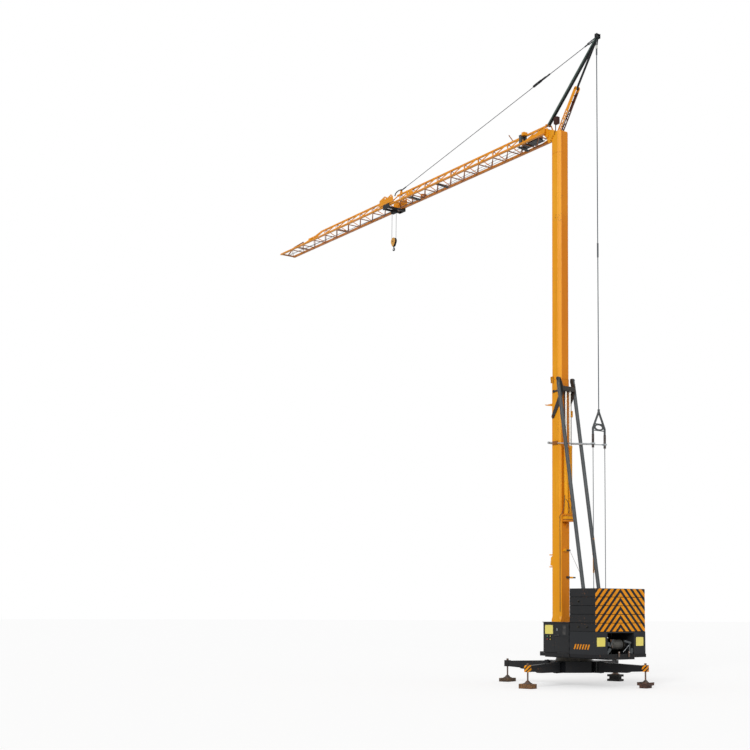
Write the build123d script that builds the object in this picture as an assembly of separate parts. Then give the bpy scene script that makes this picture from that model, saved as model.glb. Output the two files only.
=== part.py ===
from build123d import *
import os
from math import cos, hypot, radians

# Self-erecting tower crane, erected and standing on four outriggers. Millimetres.
# +X runs along the jib, +Z is up, and the origin is on the slewing axis at ground level.

# Base: chassis, outrigger arms, jacks and timber pads
base_turn = -29.0  # how far the chassis is turned from under the jib, degrees
chassis_width = 1640.0
chassis_corner = 330.0  # leg of the cut corners of the chassis
chassis_bottom = 480.0
chassis_top = 900.0
chassis_wall = 15.0
foot_radius = 3080.0  # slewing axis to each jack
hinge_radius = 1180.0  # slewing axis to each arm's vertical hinge pin
hinge_pin_r = 33.0
hinge_pin_end = 12.0  # how far the pin stands out of the ears
ear_thickness = 28.0
ear_half_width = 130.0
arm_width = 250.0
arm_tip_width = 160.0
arm_keel_share = 0.62  # share of the arm's length that has the deep keel
arm_keel_rise = 15.0
arm_step = 80.0  # length of the step at the end of the keel
arm_step_height = 35.0  # step's end below the tip
arm_tip_bottom = 600.0
arm_tip_top = 810.0
arm_wall = 10.0
arm_end_gap = 2.0  # arm to ear plate, above and below
sleeve_half = 93.0  # half the side of the square jack sleeve
sleeve_top = 830.0
screw_r = 30.0
screw_clearance = 0.4
screw_cap_r = 44.0
screw_top = 895.0
foot_plate_r = 165.0
foot_plate_thickness = 25.0
foot_cone_height = 90.0
seat_gap = 0.3

# Slewing ring
ring_outer_r = 690.0
ring_inner_r = 540.0
ring_split = 965.0
ring_gap = 0.5

# Platform deck, its underframe, its box and the ballast on it
frame_bottom = 1030.0
frame_front = 900.0
frame_half_width = 660.0
deck_bottom = 1100.0
deck_top = 1220.0
deck_plate = 14.0
deck_half_width = 1270.0
deck_rear = -2600.0
deck_front = 480.0
nose_front = 1350.0
nose_half_width = 520.0
box_rear = -2570.0
box_front = -1180.0
box_half_width = 1250.0
box_top = 2036.0
box_wall = 14.0
bay_half_width = 660.0
ballast_top = 3600.0
ballast_count = 5
ballast_chamfer = 14.0
recess_half_width = 580.0
recess_depth = 330.0

# Hoist winch in the rear bay
drum_r = 170.0
drum_flange_r = 230.0
drum_width = 640.0
drum_x = -2200.0
drum_z = 1560.0
drum_pin_r = 35.0

# Control cabinet
cabinet_front = 300.0
cabinet_rear = -1170.0
cabinet_inner = 780.0
cabinet_outer = 1250.0
cabinet_top = 2345.0
cabinet_wall = 6.0
cabinet_floor_gap = 30.0
lid_thickness = 22.0
lid_front = 35.0  # how far the lid overhangs
lid_side = 22.0
door_split_x = -330.0
door_split_z = 1826.0
door_gap = 6.0
door_thickness = 24.0
door_hinge_r = 11.0
hinge_wire_r = 5.0
knuckle = 40.0
window_width = 200.0
window_height = 350.0
window_depth = 5.0

# Mast
mast_x = 725.0
lower_mast_side = 540.0
lower_mast_corner = 78.0
upper_mast_side = 560.0
upper_mast_corner = 120.0
mast_wall = 8.0
mast_foot = 1400.0
foot_corner_top = 2430.0  # the foot's corners are nearly square up to here
foot_corner = 25.0
mast_joint = 11790.0
head_seam = 20950.0
seam_height = 6.0
seam_depth = 4.0
mast_top = 21800.0
cap_height = 60.0
mast_pin_z = 1560.0
mast_pin_r = 45.0
joint_plate = 25.0
joint_lug = 130.0

# Erecting gear: struts, yoke and cylinders
strut_y = 388.0
strut_foot = (-1190.0, 2450.0)  # X and Z of the lower pin
strut_head = (430.0, 11770.0)
strut_r = 73.0
strut_wall = 7.0
strut_eye_half = 30.0
strut_eye_r = 75.0
strut_eye_length = 150.0
strut_pin_r = 32.0
pin_clearance = 0.4
cheek = 22.0
side_gap = 1.0
yoke_x = 310.0
yoke_z = 11370.0
yoke_depth = 200.0
yoke_height = 180.0
lever_pin = (840.0, 10335.0)
lever_pin_r = 28.0
lever_thickness = 26.0
lever_gap = 9.0  # mast side to lever
lever_eye_r = 78.0
side_arm_end = (800.0, 11320.0)
cylinder_x = 290.0
cylinder_y = 101.0
barrel_r = 86.0
rod_r = 35.0
barrel_bottom = 6490.0
barrel_top = 9140.0
bracket_height = 300.0

# Stays
stay_x = -1465.0
stay_y = 300.0
stay_rope_r = 18.0
lower_rope_r = 13.0
equaliser_top = 10350.0
equaliser_neck = 10260.0
equaliser_foot = 9620.0
equaliser_bar = 58.0
equaliser_ties = (9790.0, 9540.0)
socket_top = 9390.0
socket_bottom = 8880.0
socket_r = 48.0
anchor_r = 34.0
guide_front = (1080.0, 9315.0)
guide_rear_z = 9030.0
guide_y = 293.0
guide_bar = 34.0
guide_roller_r = 46.0

# Head struts, rear stay and jib pendant
apex = (-1520.0, 25040.0)
front_strut_foot = (1410.0, 22376.0)
back_strut_foot = (690.0, 21900.0)
back_strut_joint = (-309.0, 23350.0)
back_strut_step = 0.48  # share of the lower back strut that is laced
front_strut_half_gap = 55.0
strut_bar = 45.0
front_rungs = 16
strut_end_r = 52.0
apex_pin_r = 26.0
apex_bar = 62.0
apex_eye_half = 25.0
apex_free_r = 140.0  # the struts are thinned this far round the pin, for the straps
stay_strap = 26.0  # middle plane to the inner face of each strap
pendant_strap = 36.0
strap_thickness = 8.0
strap_width = 52.0
back_plate_gap = 75.0
back_plate = 20.0
back_width = 160.0
back_leg = 34.0
back_lacing = 20.0
stay_fitting = (24720.0, 24570.0, 24330.0)
stay_joint = (16800.0, 16240.0)
stay_joint_r = 32.0
pendant_r = 14.0
pendant_fitting_r = 28.0
pendant_pin_r = 18.0

# Jib
jib_half_width = 380.0
chord = 80.0
chord_wall = 5.0
top_chord = 70.0
lacing = 36.0
jib_floor = 21910.0
jib_root = 1180.0
jib_fold = 12900.0
outer_flat = 6750.0  # fold to the start of the top chord's slope
outer_slope = 650.0
outer_low = 700.0
tip_length = 2350.0
jib_root_height = 480.0
jib_fold_height = 472.0
outer_height = 462.0
outer_low_height = 350.0
tip_height = 370.0
inner_bays = 11
outer_bays = 7
ledge_width = 40.0
ledge_thickness = 10.0
root_pin_x = 1120.0
root_pin_z = 21790.0
root_pin_r = 32.0
root_tube_r = 30.0
fold_half = 60.0
root_bay = 370.0  # jib root to the first lacing
inner_top_gap = 400.0  # end of the inner top chord to the fold
outer_top_gap = 500.0
gusset = 20.0
chord_plate = 20.0
chord_plate_y = 392.0
taper_height = 160.0
taper_length = 1270.0
floor_plate = 220.0
floor_plate_thickness = 8.0
inner_floor_plates = (8780.0, 11100.0)
outer_floor_plates = (4530.0, 8580.0)  # from the fold
jib_winch_x = 2480.0
pendant_back = 711.0  # fold to the pendant's lower end
pendant_height = 651.0  # jib floor to the pendant's lower end

# Trolley, falls and hook
trolley_forward = -120.0  # from the fold
trolley_length = 520.0
wheel_r = 48.0
wheel_width = 26.0
wheel_gap = 0.3
trolley_plate = 12.0
trolley_sheave_r = 70.0
fall_spacing = 360.0
fall_r = 9.0
fall_drop = 260.0  # jib floor to the top of the falls
hook_block_top = 20400.0
hook_block_bottom = 19980.0
hook_cheek_r = 178.0
hook_r = 78.0
hook_bowl_r = 36.0
hook_thickness = 44.0
hook_shank = 20.0

# Derived places
outer_slope_start = jib_fold + outer_flat
outer_slope_end = outer_slope_start + outer_slope
outer_end = outer_slope_end + outer_low
jib_tip = outer_end + tip_length
pendant_end = (jib_fold - pendant_back, jib_floor + pendant_height)
trolley_x = jib_fold + trolley_forward
fall_top = jib_floor - fall_drop
hook_mid = hook_block_top - hook_cheek_r
head_level = mast_top + cap_height

CORNERS = {"front_left": 45.0, "rear_left": 135.0, "rear_right": 225.0, "front_right": 315.0}
# Layers under each foot from the ground up: length along the arm, width across it, thickness
PADS = {
    "front_left": [(430.0, 560.0, 140.0)],
    "rear_left": [(350.0, 560.0, 170.0)],
    "rear_right": [(310.0, 400.0, 100.0), (500.0, 400.0, 75.0)],
    "front_right": [(357.0, 570.0, 90.0), (275.0, 420.0, 90.0), (354.0, 560.0, 90.0)],
}

os.makedirs("parts", exist_ok=True)


def save(name, shape):
    """Write one sub-part, fused to a single clean shape."""
    if isinstance(shape, list):
        shape = fused(shape).clean()
    solids = shape.solids()
    result = solids[0] if len(solids) == 1 else Compound(solids)
    export_step(result, f"parts/{name}.step")


def fused(pieces):
    """One shape from a list."""
    return pieces[0].fuse(*pieces[1:]) if len(pieces) > 1 else pieces[0]


def block(x0, x1, y0, y1, z0, z1):
    """A box between two corners."""
    size = (x1 - x0, y1 - y0, z1 - z0)
    return Pos((x0 + x1) / 2, (y0 + y1) / 2, (z0 + z1) / 2) * Box(*size)


def rod_z(x, y, z0, z1, radius):
    """A round bar that stands upright."""
    return Pos(x, y, (z0 + z1) / 2) * Cylinder(radius, z1 - z0)


def rod_y(x, z, y0, y1, radius):
    """A round bar that lies across the crane."""
    return Pos(x, (y0 + y1) / 2, z) * Rot(90, 0, 0) * Cylinder(radius, y1 - y0)


def between(a, b, share):
    """The point a share of the way from a to b."""
    return tuple(p + (q - p) * share for p, q in zip(a, b))


def along(start, end):
    """A plane at start whose normal points at end, with its Y axis upright as far as it can be."""
    direction = Vector(*end) - Vector(*start)
    side = Vector(0, 0, 1).cross(direction)
    if side.length < 1e-6 * direction.length:
        side = Vector(0, 1, 0)
    return Plane(origin=start, x_dir=side.normalized(), z_dir=direction.normalized())


def bar(start, end, width, height=None, wall=0.0):
    """A rectangular bar, hollow where a wall is given."""
    height = height or width
    length = (Vector(*end) - Vector(*start)).length
    section = Rectangle(width, height)
    if wall:
        section -= Rectangle(width - 2 * wall, height - 2 * wall)
    return extrude(along(start, end) * section, amount=length)


def round_bar(start, end, radius):
    """A round bar from point to point."""
    length = (Vector(*end) - Vector(*start)).length
    return extrude(along(start, end) * Circle(radius), amount=length)


def plate_y(points, y0, y1):
    """A plate that stands fore and aft, from its X and Z corners."""
    face = Plane.XZ.offset(-y1) * make_face(Polyline(*points, close=True))
    return extrude(face, amount=y1 - y0)


def both_sides(shape):
    """A shape and its mirror image across the crane's middle plane."""
    return [shape, mirror(shape, about=Plane.XZ)]


def octagon_face(side, corner, z):
    """A square with cut corners, round the mast's axis."""
    half = side / 2
    outline = [
        (half - corner, half),
        (-half + corner, half),
        (-half, half - corner),
        (-half, -half + corner),
        (-half + corner, -half),
        (half - corner, -half),
        (half, -half + corner),
        (half, half - corner),
    ]
    return Pos(mast_x, 0, z) * make_face(Polyline(*outline, close=True))


def octagon(side, corner, z0, z1):
    """A chamfered square prism on the mast's axis."""
    return extrude(octagon_face(side, corner, z0), amount=z1 - z0)


def mast_bore(side, corner, z0, z1):
    """The hollow inside a mast section."""
    corner_inset = 0.586 * mast_wall  # keeps the wall as thick at the cut corners
    return octagon(side - 2 * mast_wall, corner - corner_inset, z0, z1)


def mast_tube(side, corner, z0, z1):
    """A chamfered box section of plate, open at both ends."""
    return octagon(side, corner, z0, z1) - mast_bore(side, corner, z0, z1)


def flange(side, corner, z0, z1):
    """A plate across a mast section, open in the middle."""
    rim = 80.0
    return octagon(side, corner, z0, z1) - octagon(side - 2 * rim, corner / 2, z0 - 1, z1 + 1)


def chassis():
    """Box frame with cut corners and a pair of ear plates at each corner."""
    half = chassis_width / 2
    cut = chassis_corner
    outline = [
        (half, half - cut),
        (half - cut, half),
        (-half + cut, half),
        (-half, half - cut),
        (-half, -half + cut),
        (-half + cut, -half),
        (half - cut, -half),
        (half, -half + cut),
    ]
    face = make_face(Polyline(*outline, close=True))
    height = chassis_top - chassis_bottom
    shell = extrude(Pos(0, 0, chassis_bottom) * face, amount=height)
    inner = offset(face, amount=-chassis_wall, kind=Kind.INTERSECTION)
    shell -= extrude(
        Pos(0, 0, chassis_bottom + chassis_wall) * inner, amount=height - 2 * chassis_wall
    )
    pieces = [shell]
    corner_face = (chassis_width - chassis_corner) * cos(radians(45))
    ear_start = corner_face - chassis_wall / 2
    post = block(
        ear_start, hinge_radius - 0.62 * arm_width, -ear_half_width * 0.6, ear_half_width * 0.6,
        chassis_bottom, chassis_top,
    )
    for turn in CORNERS.values():
        pieces.append(Rot(0, 0, turn) * post)
        for low in (chassis_bottom, chassis_top - ear_thickness):
            ear = block(
                ear_start, hinge_radius, -ear_half_width, ear_half_width, low, low + ear_thickness
            )
            ear += rod_z(hinge_radius, 0, low, low + ear_thickness, ear_half_width)
            pieces.append(Rot(0, 0, turn) * ear)
        pin = rod_z(
            hinge_radius, 0, chassis_bottom - hinge_pin_end, chassis_top + hinge_pin_end, hinge_pin_r
        )
        pieces.append(Rot(0, 0, turn) * pin)
    return Rot(0, 0, base_turn) * fused(pieces)


def outrigger_arm():
    """Box arm with a stepped keel, from its hinge boss to the square jack sleeve, along +X."""
    root_bottom = chassis_bottom + ear_thickness + arm_end_gap
    top = chassis_top - ear_thickness - arm_end_gap
    root_end = hinge_radius + arm_width
    keel_end = hinge_radius + arm_keel_share * (foot_radius - hinge_radius)
    keel_bottom = root_bottom + arm_keel_rise
    step_bottom = arm_tip_bottom - arm_step_height
    side = [
        (hinge_radius, root_bottom),
        (keel_end, keel_bottom),
        (keel_end + arm_step, step_bottom),
        (foot_radius, arm_tip_bottom),
        (foot_radius, arm_tip_top),
        (root_end, top),
        (hinge_radius, top),
    ]
    plan = [
        (hinge_radius, -arm_width / 2),
        (foot_radius, -arm_tip_width / 2),
        (foot_radius, arm_tip_width / 2),
        (hinge_radius, arm_width / 2),
    ]
    profile = plate_y(side, -arm_width, arm_width)
    body = profile & extrude(make_face(Polyline(*plan, close=True)), amount=chassis_top)
    hollow_end = foot_radius - sleeve_half - arm_wall
    hollow_side = [
        (root_end, keel_bottom + arm_wall),
        (keel_end, keel_bottom + arm_wall),
        (keel_end + arm_step, arm_tip_bottom + arm_wall),
        (hollow_end, arm_tip_bottom + arm_wall),
        (hollow_end, arm_tip_top - arm_wall),
        (root_end, top - arm_wall),
    ]
    hollow_half = arm_tip_width / 2 - arm_wall
    body -= plate_y(hollow_side, -hollow_half, hollow_half)
    boss = rod_z(hinge_radius, 0, root_bottom, top, arm_width / 2)
    sleeve = block(
        foot_radius - sleeve_half, foot_radius + sleeve_half, -sleeve_half, sleeve_half,
        arm_tip_bottom - arm_wall, sleeve_top,
    )
    arm = body + boss + sleeve
    arm -= rod_z(hinge_radius, 0, 0, 2 * chassis_top, hinge_pin_r + 1.0)
    arm -= rod_z(foot_radius, 0, 0, 2 * chassis_top, screw_r + screw_clearance)
    return arm


def jack(foot_bottom):
    """Jack screw with its cap and conical foot plate, at +X."""
    plate_top = foot_bottom + foot_plate_thickness
    cone_top = plate_top + foot_cone_height
    foot = rod_z(foot_radius, 0, foot_bottom, plate_top, foot_plate_r)
    cone = Pos(foot_radius, 0, (plate_top + cone_top) / 2) * Cone(
        foot_plate_r * 0.8, screw_r * 1.5, foot_cone_height
    )
    screw = rod_z(foot_radius, 0, cone_top - 1, screw_top, screw_r)
    cap = rod_z(foot_radius, 0, sleeve_top + 2, screw_top, screw_cap_r)
    return foot + cone + screw + cap


def pad_height(layers):
    """Height of a stack of boards."""
    return sum(thickness for _, _, thickness in layers)


def timber_pad(layers):
    """Boards or plates under a foot, in layers, at +X."""
    pieces = []
    low = 0.0
    for length, width, thickness in layers:
        near = foot_radius - length / 2
        far = foot_radius + length / 2
        pieces.append(block(near, far, -width / 2, width / 2, low, low + thickness))
        low += thickness
    return pieces


def ring(z0, z1, outer):
    """One race of the slewing ring."""
    return rod_z(0, 0, z0, z1, outer) - rod_z(0, 0, z0 - 1, z1 + 1, ring_inner_r)


def platform_deck():
    """Plate on an edge frame, with a shallow box frame below it that sits on the ring."""
    outline = [
        (deck_rear, -box_half_width),
        (box_front, -box_half_width),
        (box_front, -deck_half_width),
        (deck_front, -deck_half_width),
        (deck_front, -nose_half_width),
        (nose_front, -nose_half_width),
        (nose_front, nose_half_width),
        (deck_front, nose_half_width),
        (deck_front, deck_half_width),
        (box_front, deck_half_width),
        (box_front, box_half_width),
        (deck_rear, box_half_width),
    ]
    face = make_face(Polyline(*outline, close=True))
    height = deck_top - deck_bottom
    deck = extrude(Pos(0, 0, deck_bottom) * face, amount=height)
    inner = offset(face, amount=-2 * deck_plate, kind=Kind.INTERSECTION)
    deck -= extrude(Pos(0, 0, deck_bottom) * inner, amount=height - deck_plate)
    beam = 2 * deck_plate
    pieces = [deck]
    for y in (-ring_inner_r, ring_inner_r - beam):
        pieces.append(block(deck_rear, nose_front, y, y + beam, deck_bottom - 1, deck_top))
    tray = block(
        deck_rear, frame_front, -frame_half_width, frame_half_width, frame_bottom, deck_bottom
    )
    tray -= block(
        deck_rear + deck_plate, frame_front - deck_plate,
        -frame_half_width + deck_plate, frame_half_width - deck_plate,
        frame_bottom + deck_plate, deck_bottom + 1,
    )
    tray -= rod_z(0, 0, frame_bottom - 1, deck_bottom, ring_inner_r - 2 * beam)
    pieces.append(tray)
    for y in (-frame_half_width, frame_half_width - deck_plate):
        pieces.append(
            block(deck_rear, frame_front, y, y + deck_plate, deck_bottom - 1, deck_top - 1)
        )
    return pieces


def platform_box():
    """Hollow box that carries the ballast, open through its middle for the winch."""
    roof = 3 * box_wall
    box = block(box_rear, box_front, -box_half_width, box_half_width, deck_top, box_top)
    box -= block(
        box_rear - 1, box_front + 1, -bay_half_width, bay_half_width, deck_top, box_top - roof
    )
    cavity = block(
        box_rear + box_wall,
        box_front - box_wall,
        bay_half_width + box_wall,
        box_half_width - box_wall,
        deck_top + box_wall,
        box_top - roof,
    )
    for hollow in both_sides(cavity):
        box -= hollow
    return box


def ballast_block(index):
    """One layer of ballast, with a recess for the strut feet and the stay ropes."""
    height = (ballast_top - box_top) / ballast_count
    low = box_top + index * height
    layer = block(box_rear, box_front, -box_half_width, box_half_width, low, low + height)
    layer = chamfer(layer.edges(), ballast_chamfer)
    return layer - block(
        box_front - recess_depth, box_front + 1, -recess_half_width, recess_half_width,
        low - 1, low + height + 1,
    )


def winch_frame():
    """Two bearing plates on the deck with the drum's fixed shaft between them."""
    inner = drum_width / 2 + 30
    foot = 260.0
    shoulder = 80.0
    plate = plate_y(
        [
            (drum_x - foot, deck_top),
            (drum_x + foot, deck_top),
            (drum_x + shoulder, drum_z + shoulder),
            (drum_x - shoulder, drum_z + shoulder),
        ],
        inner,
        inner + cheek,
    )
    shaft = rod_y(drum_x, drum_z, -inner - cheek, inner + cheek, drum_pin_r)
    return [*both_sides(plate), shaft]


def winch_drum():
    """Rope drum with two flanges, free on its shaft."""
    half = drum_width / 2
    rim = 20.0
    drum = rod_y(drum_x, drum_z, -half, half, drum_r)
    drum += rod_y(drum_x, drum_z, half - rim, half, drum_flange_r)
    drum += rod_y(drum_x, drum_z, -half, -half + rim, drum_flange_r)
    return drum - rod_y(drum_x, drum_z, -half - 1, half + 1, drum_pin_r + pin_clearance)


def door_heights():
    """Bottom and top of the lower and the upper door."""
    low = deck_top + cabinet_floor_gap + 3 * cabinet_wall + door_gap
    high = cabinet_top - 3 * cabinet_wall - door_gap
    return [(low, door_split_z - door_gap / 2), (door_split_z + door_gap / 2, high)]


def cabinet_shell():
    """Sheet-metal cabinet with a door opening in its outer face and a lid that overhangs."""
    low = deck_top + cabinet_floor_gap
    frame = 3 * cabinet_wall
    shell = block(cabinet_rear, cabinet_front, cabinet_inner, cabinet_outer, low, cabinet_top)
    shell -= block(
        cabinet_rear + cabinet_wall,
        cabinet_front - cabinet_wall,
        cabinet_inner + cabinet_wall,
        cabinet_outer - door_thickness - cabinet_wall,
        low + cabinet_wall,
        cabinet_top - cabinet_wall,
    )
    shell -= block(
        cabinet_rear + frame,
        door_split_x,
        cabinet_outer - door_thickness - frame,
        cabinet_outer + 1,
        low + frame,
        cabinet_top - frame,
    )
    lid = block(
        cabinet_rear, cabinet_front + lid_front, cabinet_inner - lid_side,
        cabinet_outer + lid_side, cabinet_top, cabinet_top + lid_thickness,
    )
    inset = 35.0
    plinth = block(
        cabinet_rear + inset, cabinet_front - inset, cabinet_inner + inset, cabinet_outer - inset,
        deck_top, low,
    )
    pieces = [shell, lid, plinth]
    for z0, z1 in door_heights():
        pieces += fixed_knuckles(z0, z1)
    return pieces


def hinge_line():
    """X and Y of the doors' vertical hinge axis."""
    return cabinet_rear + 3 * cabinet_wall + door_gap, cabinet_outer + door_hinge_r + 0.5


def knuckle_heights(z0, z1):
    """Heights of the two hinges of a door."""
    margin = 60.0
    return [z0 + margin, z1 - margin - 3 * knuckle]


def cabinet_door(z0, z1, window):
    """A folded sheet door with hinge knuckles at its rear edge, and a sunk window if asked."""
    x, y = hinge_line()
    leaf = block(x, door_split_x - door_gap, cabinet_outer - door_thickness, cabinet_outer, z0, z1)
    if window:
        centre = x + 0.32 * (door_split_x - x)
        middle = (z0 + z1) / 2
        leaf -= block(
            centre - window_width / 2, centre + window_width / 2,
            cabinet_outer - window_depth, cabinet_outer + 1,
            middle - window_height / 2, middle + window_height / 2,
        )
    pieces = [leaf]
    for low in knuckle_heights(z0, z1):
        start = low + knuckle
        end = low + 2 * knuckle
        barrel = rod_z(x, y, start, end, door_hinge_r)
        strip = block(x, x + 1.5 * knuckle, cabinet_outer - 1, cabinet_outer + 5, start, end)
        pieces.append(barrel + strip)
    return fused(pieces) - rod_z(x, y, z0, z1, hinge_wire_r + 0.1)


def fixed_knuckles(z0, z1):
    """The cabinet's half of a door's hinges, with their pins."""
    x, y = hinge_line()
    pieces = []
    for low in knuckle_heights(z0, z1):
        for start in (low, low + 2 * knuckle + 1):
            end = start + knuckle - 1
            pieces.append(rod_z(x, y, start, end, door_hinge_r))
            pieces.append(block(x - 24, x, cabinet_outer - 1, cabinet_outer + 5, start, end))
        pieces.append(rod_z(x, y, low, low + 3 * knuckle, hinge_wire_r))
    return pieces


def lower_mast():
    """Lower mast: foot with nearly square corners, hinge lugs, lever pins and cylinder bracket."""
    side = lower_mast_side
    half = side / 2
    wedge_top = foot_corner_top + 1.7 * lower_mast_corner
    foot = octagon(side, foot_corner, mast_foot, foot_corner_top)
    wedge = loft([
        octagon_face(side, foot_corner, foot_corner_top),
        octagon_face(side, lower_mast_corner, wedge_top),
    ], ruled=True)
    column = octagon(side, lower_mast_corner, wedge_top, mast_joint)
    bore = mast_bore(side, lower_mast_corner, mast_foot + joint_plate, mast_joint + 1)
    pieces = [
        foot + wedge + column - bore,
        flange(side, lower_mast_corner, mast_joint - joint_plate, mast_joint),
    ]
    x, z = lever_pin
    lever_outer = half + lever_gap + lever_thickness
    pieces += both_sides(rod_y(x, z, half - 1, half + lever_gap - 1, 0.9 * lever_eye_r))
    pieces += both_sides(rod_y(x, z, half, lever_outer + 1, lever_pin_r))
    pieces += both_sides(rod_y(x, z, lever_outer + 1, lever_outer + 1 + cheek, 1.7 * lever_pin_r))
    lug = block(
        mast_x + 0.22 * half, mast_x + 0.93 * half, half - 1, half + cheek,
        mast_joint - joint_lug, mast_joint,
    )
    pieces += both_sides(lug)
    pieces += cylinder_bracket()
    pieces += front_bracket()
    hole = rod_y(mast_x, mast_pin_z, -half - 1, half + 1, mast_pin_r + pin_clearance)
    return fused(pieces) - hole


def cylinder_bracket():
    """Block behind the mast that both cylinders stand on, with a brace below it."""
    rear = mast_x - lower_mast_side / 2
    reach = cylinder_y + barrel_r
    low = barrel_bottom - bracket_height
    seat = block(cylinder_x - barrel_r, rear + 1, -reach, reach, low, barrel_bottom)
    waist = 0.25 * bracket_height
    cut = block(
        cylinder_x - barrel_r - 1, rear - 2 * cheek, -reach - 1, reach + 1,
        low + waist, barrel_bottom - waist,
    )
    core = block(
        cylinder_x - 0.7 * barrel_r, rear, -0.8 * reach, 0.8 * reach, low, barrel_bottom
    )
    brace = plate_y(
        [(rear + 1, low), (cylinder_x, low), (rear + 1, low - 0.7 * bracket_height)],
        -cheek / 2, cheek / 2,
    )
    return [seat - cut, core, brace]


def front_bracket():
    """Open channel with flared ends and a spike above it, on the mast's front face."""
    front = mast_x + lower_mast_side / 2
    low = 4480.0
    height = 450.0
    reach = 185.0
    half = 150.0
    outline = [
        (front - 1, low),
        (front + reach, low + 0.12 * height),
        (front + 0.8 * reach, low + 0.8 * height),
        (front - 1, low + height),
    ]
    pieces = both_sides(plate_y(outline, half - cheek, half))
    pieces.append(
        block(
            front + 0.35 * reach, front + 0.35 * reach + cheek, -half, half,
            low + 0.15 * height, low + 0.8 * height,
        )
    )
    spike_z = mast_joint - 1000.0
    pieces.append(bar((front - 1, 0, spike_z), (front + 655, 0, spike_z + 130), 28))
    return pieces


def mast_foot_bracket():
    """Two plates on the deck with the pin that the mast's foot turns on."""
    inner = lower_mast_side / 2 + side_gap
    outer = inner + 2 * cheek
    foot = 330.0
    shoulder = 130.0
    plate = plate_y(
        [
            (mast_x - foot, deck_top),
            (mast_x + foot, deck_top),
            (mast_x + shoulder, mast_pin_z + shoulder),
            (mast_x - shoulder, mast_pin_z + shoulder),
        ],
        inner,
        outer,
    )
    pin = rod_y(mast_x, mast_pin_z, -outer - cheek, outer + cheek, mast_pin_r)
    return [*both_sides(plate), pin]


def upper_mast():
    """Upper mast tube with its bottom plate and the upper halves of the joint's lugs."""
    side = upper_mast_side
    half = side / 2
    lug = block(
        mast_x + 0.22 * half, mast_x + 0.9 * half, half - 1, half + cheek,
        mast_joint, mast_joint + joint_lug,
    )
    return [
        mast_tube(side, upper_mast_corner, mast_joint, head_seam),
        flange(side, upper_mast_corner, mast_joint, mast_joint + joint_plate),
        *both_sides(lug),
    ]


def mast_head():
    """Head of the mast: seam, cap, plates that carry the jib's root pin, and a motor on a post."""
    side = upper_mast_side
    half = side / 2
    corner = upper_mast_corner
    plate = plate_y(
        [
            (mast_x - 45, mast_top + 80),
            (mast_x + 175, mast_top - 320),
            (mast_x + 335, mast_top - 350),
            (root_pin_x + 85, root_pin_z - 70),
            (root_pin_x + 85, root_pin_z + 60),
            (root_pin_x - 30, mast_top + 250),
        ],
        half - 1,
        half + gusset,
    )
    reach = jib_half_width - chord / 2
    cap = octagon(side, corner, mast_top, head_level)
    cap = chamfer(cap.faces().sort_by(Axis.Z)[-1].edges(), cap_height / 2)
    motor_x = mast_x + 195
    motor_low = head_level + 430
    motor_half = 75.0
    return [
        mast_tube(side - 2 * seam_depth, corner, head_seam, head_seam + seam_height),
        mast_tube(side, corner, head_seam + seam_height, mast_top),
        cap,
        *both_sides(plate),
        rod_y(root_pin_x, root_pin_z, -reach, reach, root_pin_r),
        rod_z(motor_x + 65, 0, head_level - 1, motor_low, root_pin_r * 0.6),
        block(
            motor_x - 100, motor_x + 100, -motor_half, motor_half, motor_low - 1, motor_low + 280
        ),
    ]


def strut(side):
    """A-frame strut: round tube with a flat eye at each end."""
    y = side * strut_y
    foot = (strut_foot[0], y, strut_foot[1])
    head = (strut_head[0], y, strut_head[1])
    eye = strut_eye_length / hypot(head[0] - foot[0], head[2] - foot[2])
    shape = round_bar(between(foot, head, eye), between(foot, head, 1 - eye), strut_r)
    shape -= round_bar(
        between(foot, head, 1.6 * eye), between(foot, head, 1 - 1.6 * eye), strut_r - strut_wall
    )
    for end, share in ((foot, 1.5 * eye), (head, 1 - 1.5 * eye)):
        flat = bar(end, between(foot, head, share), 2 * strut_eye_half, 1.7 * strut_r)
        y0 = y - strut_eye_half
        y1 = y + strut_eye_half
        flat += rod_y(end[0], end[2], y0, y1, strut_eye_r)
        flat -= rod_y(end[0], end[2], y0 - 1, y1 + 1, strut_pin_r + pin_clearance)
        shape += flat
    return shape


def strut_brackets():
    """Clevis plates with pins for both strut feet, tied by a cross tube on the platform box."""
    x, z = strut_foot
    inner = strut_y - strut_eye_half - side_gap
    outer = strut_y + strut_eye_half + side_gap
    base_rear = x - 150
    base_front = box_front - 2
    outline = [
        (base_rear, box_top),
        (base_front, box_top),
        (x + strut_eye_r, z - strut_eye_r),
        (x + strut_eye_r, z + 70),
        (x - strut_eye_r, z + 70),
    ]
    pieces = [rod_y(x - 60, box_top + 60, -inner, inner, 40)]
    for low, high in ((inner - cheek, inner), (outer, outer + cheek)):
        pieces += both_sides(plate_y(outline, low, high))
    pieces += both_sides(rod_y(x, z, inner - cheek, outer + cheek, strut_pin_r))
    sole = block(base_rear, base_front, inner - 1, outer + 1, box_top, box_top + cheek)
    pieces += both_sides(sole)
    return pieces


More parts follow.
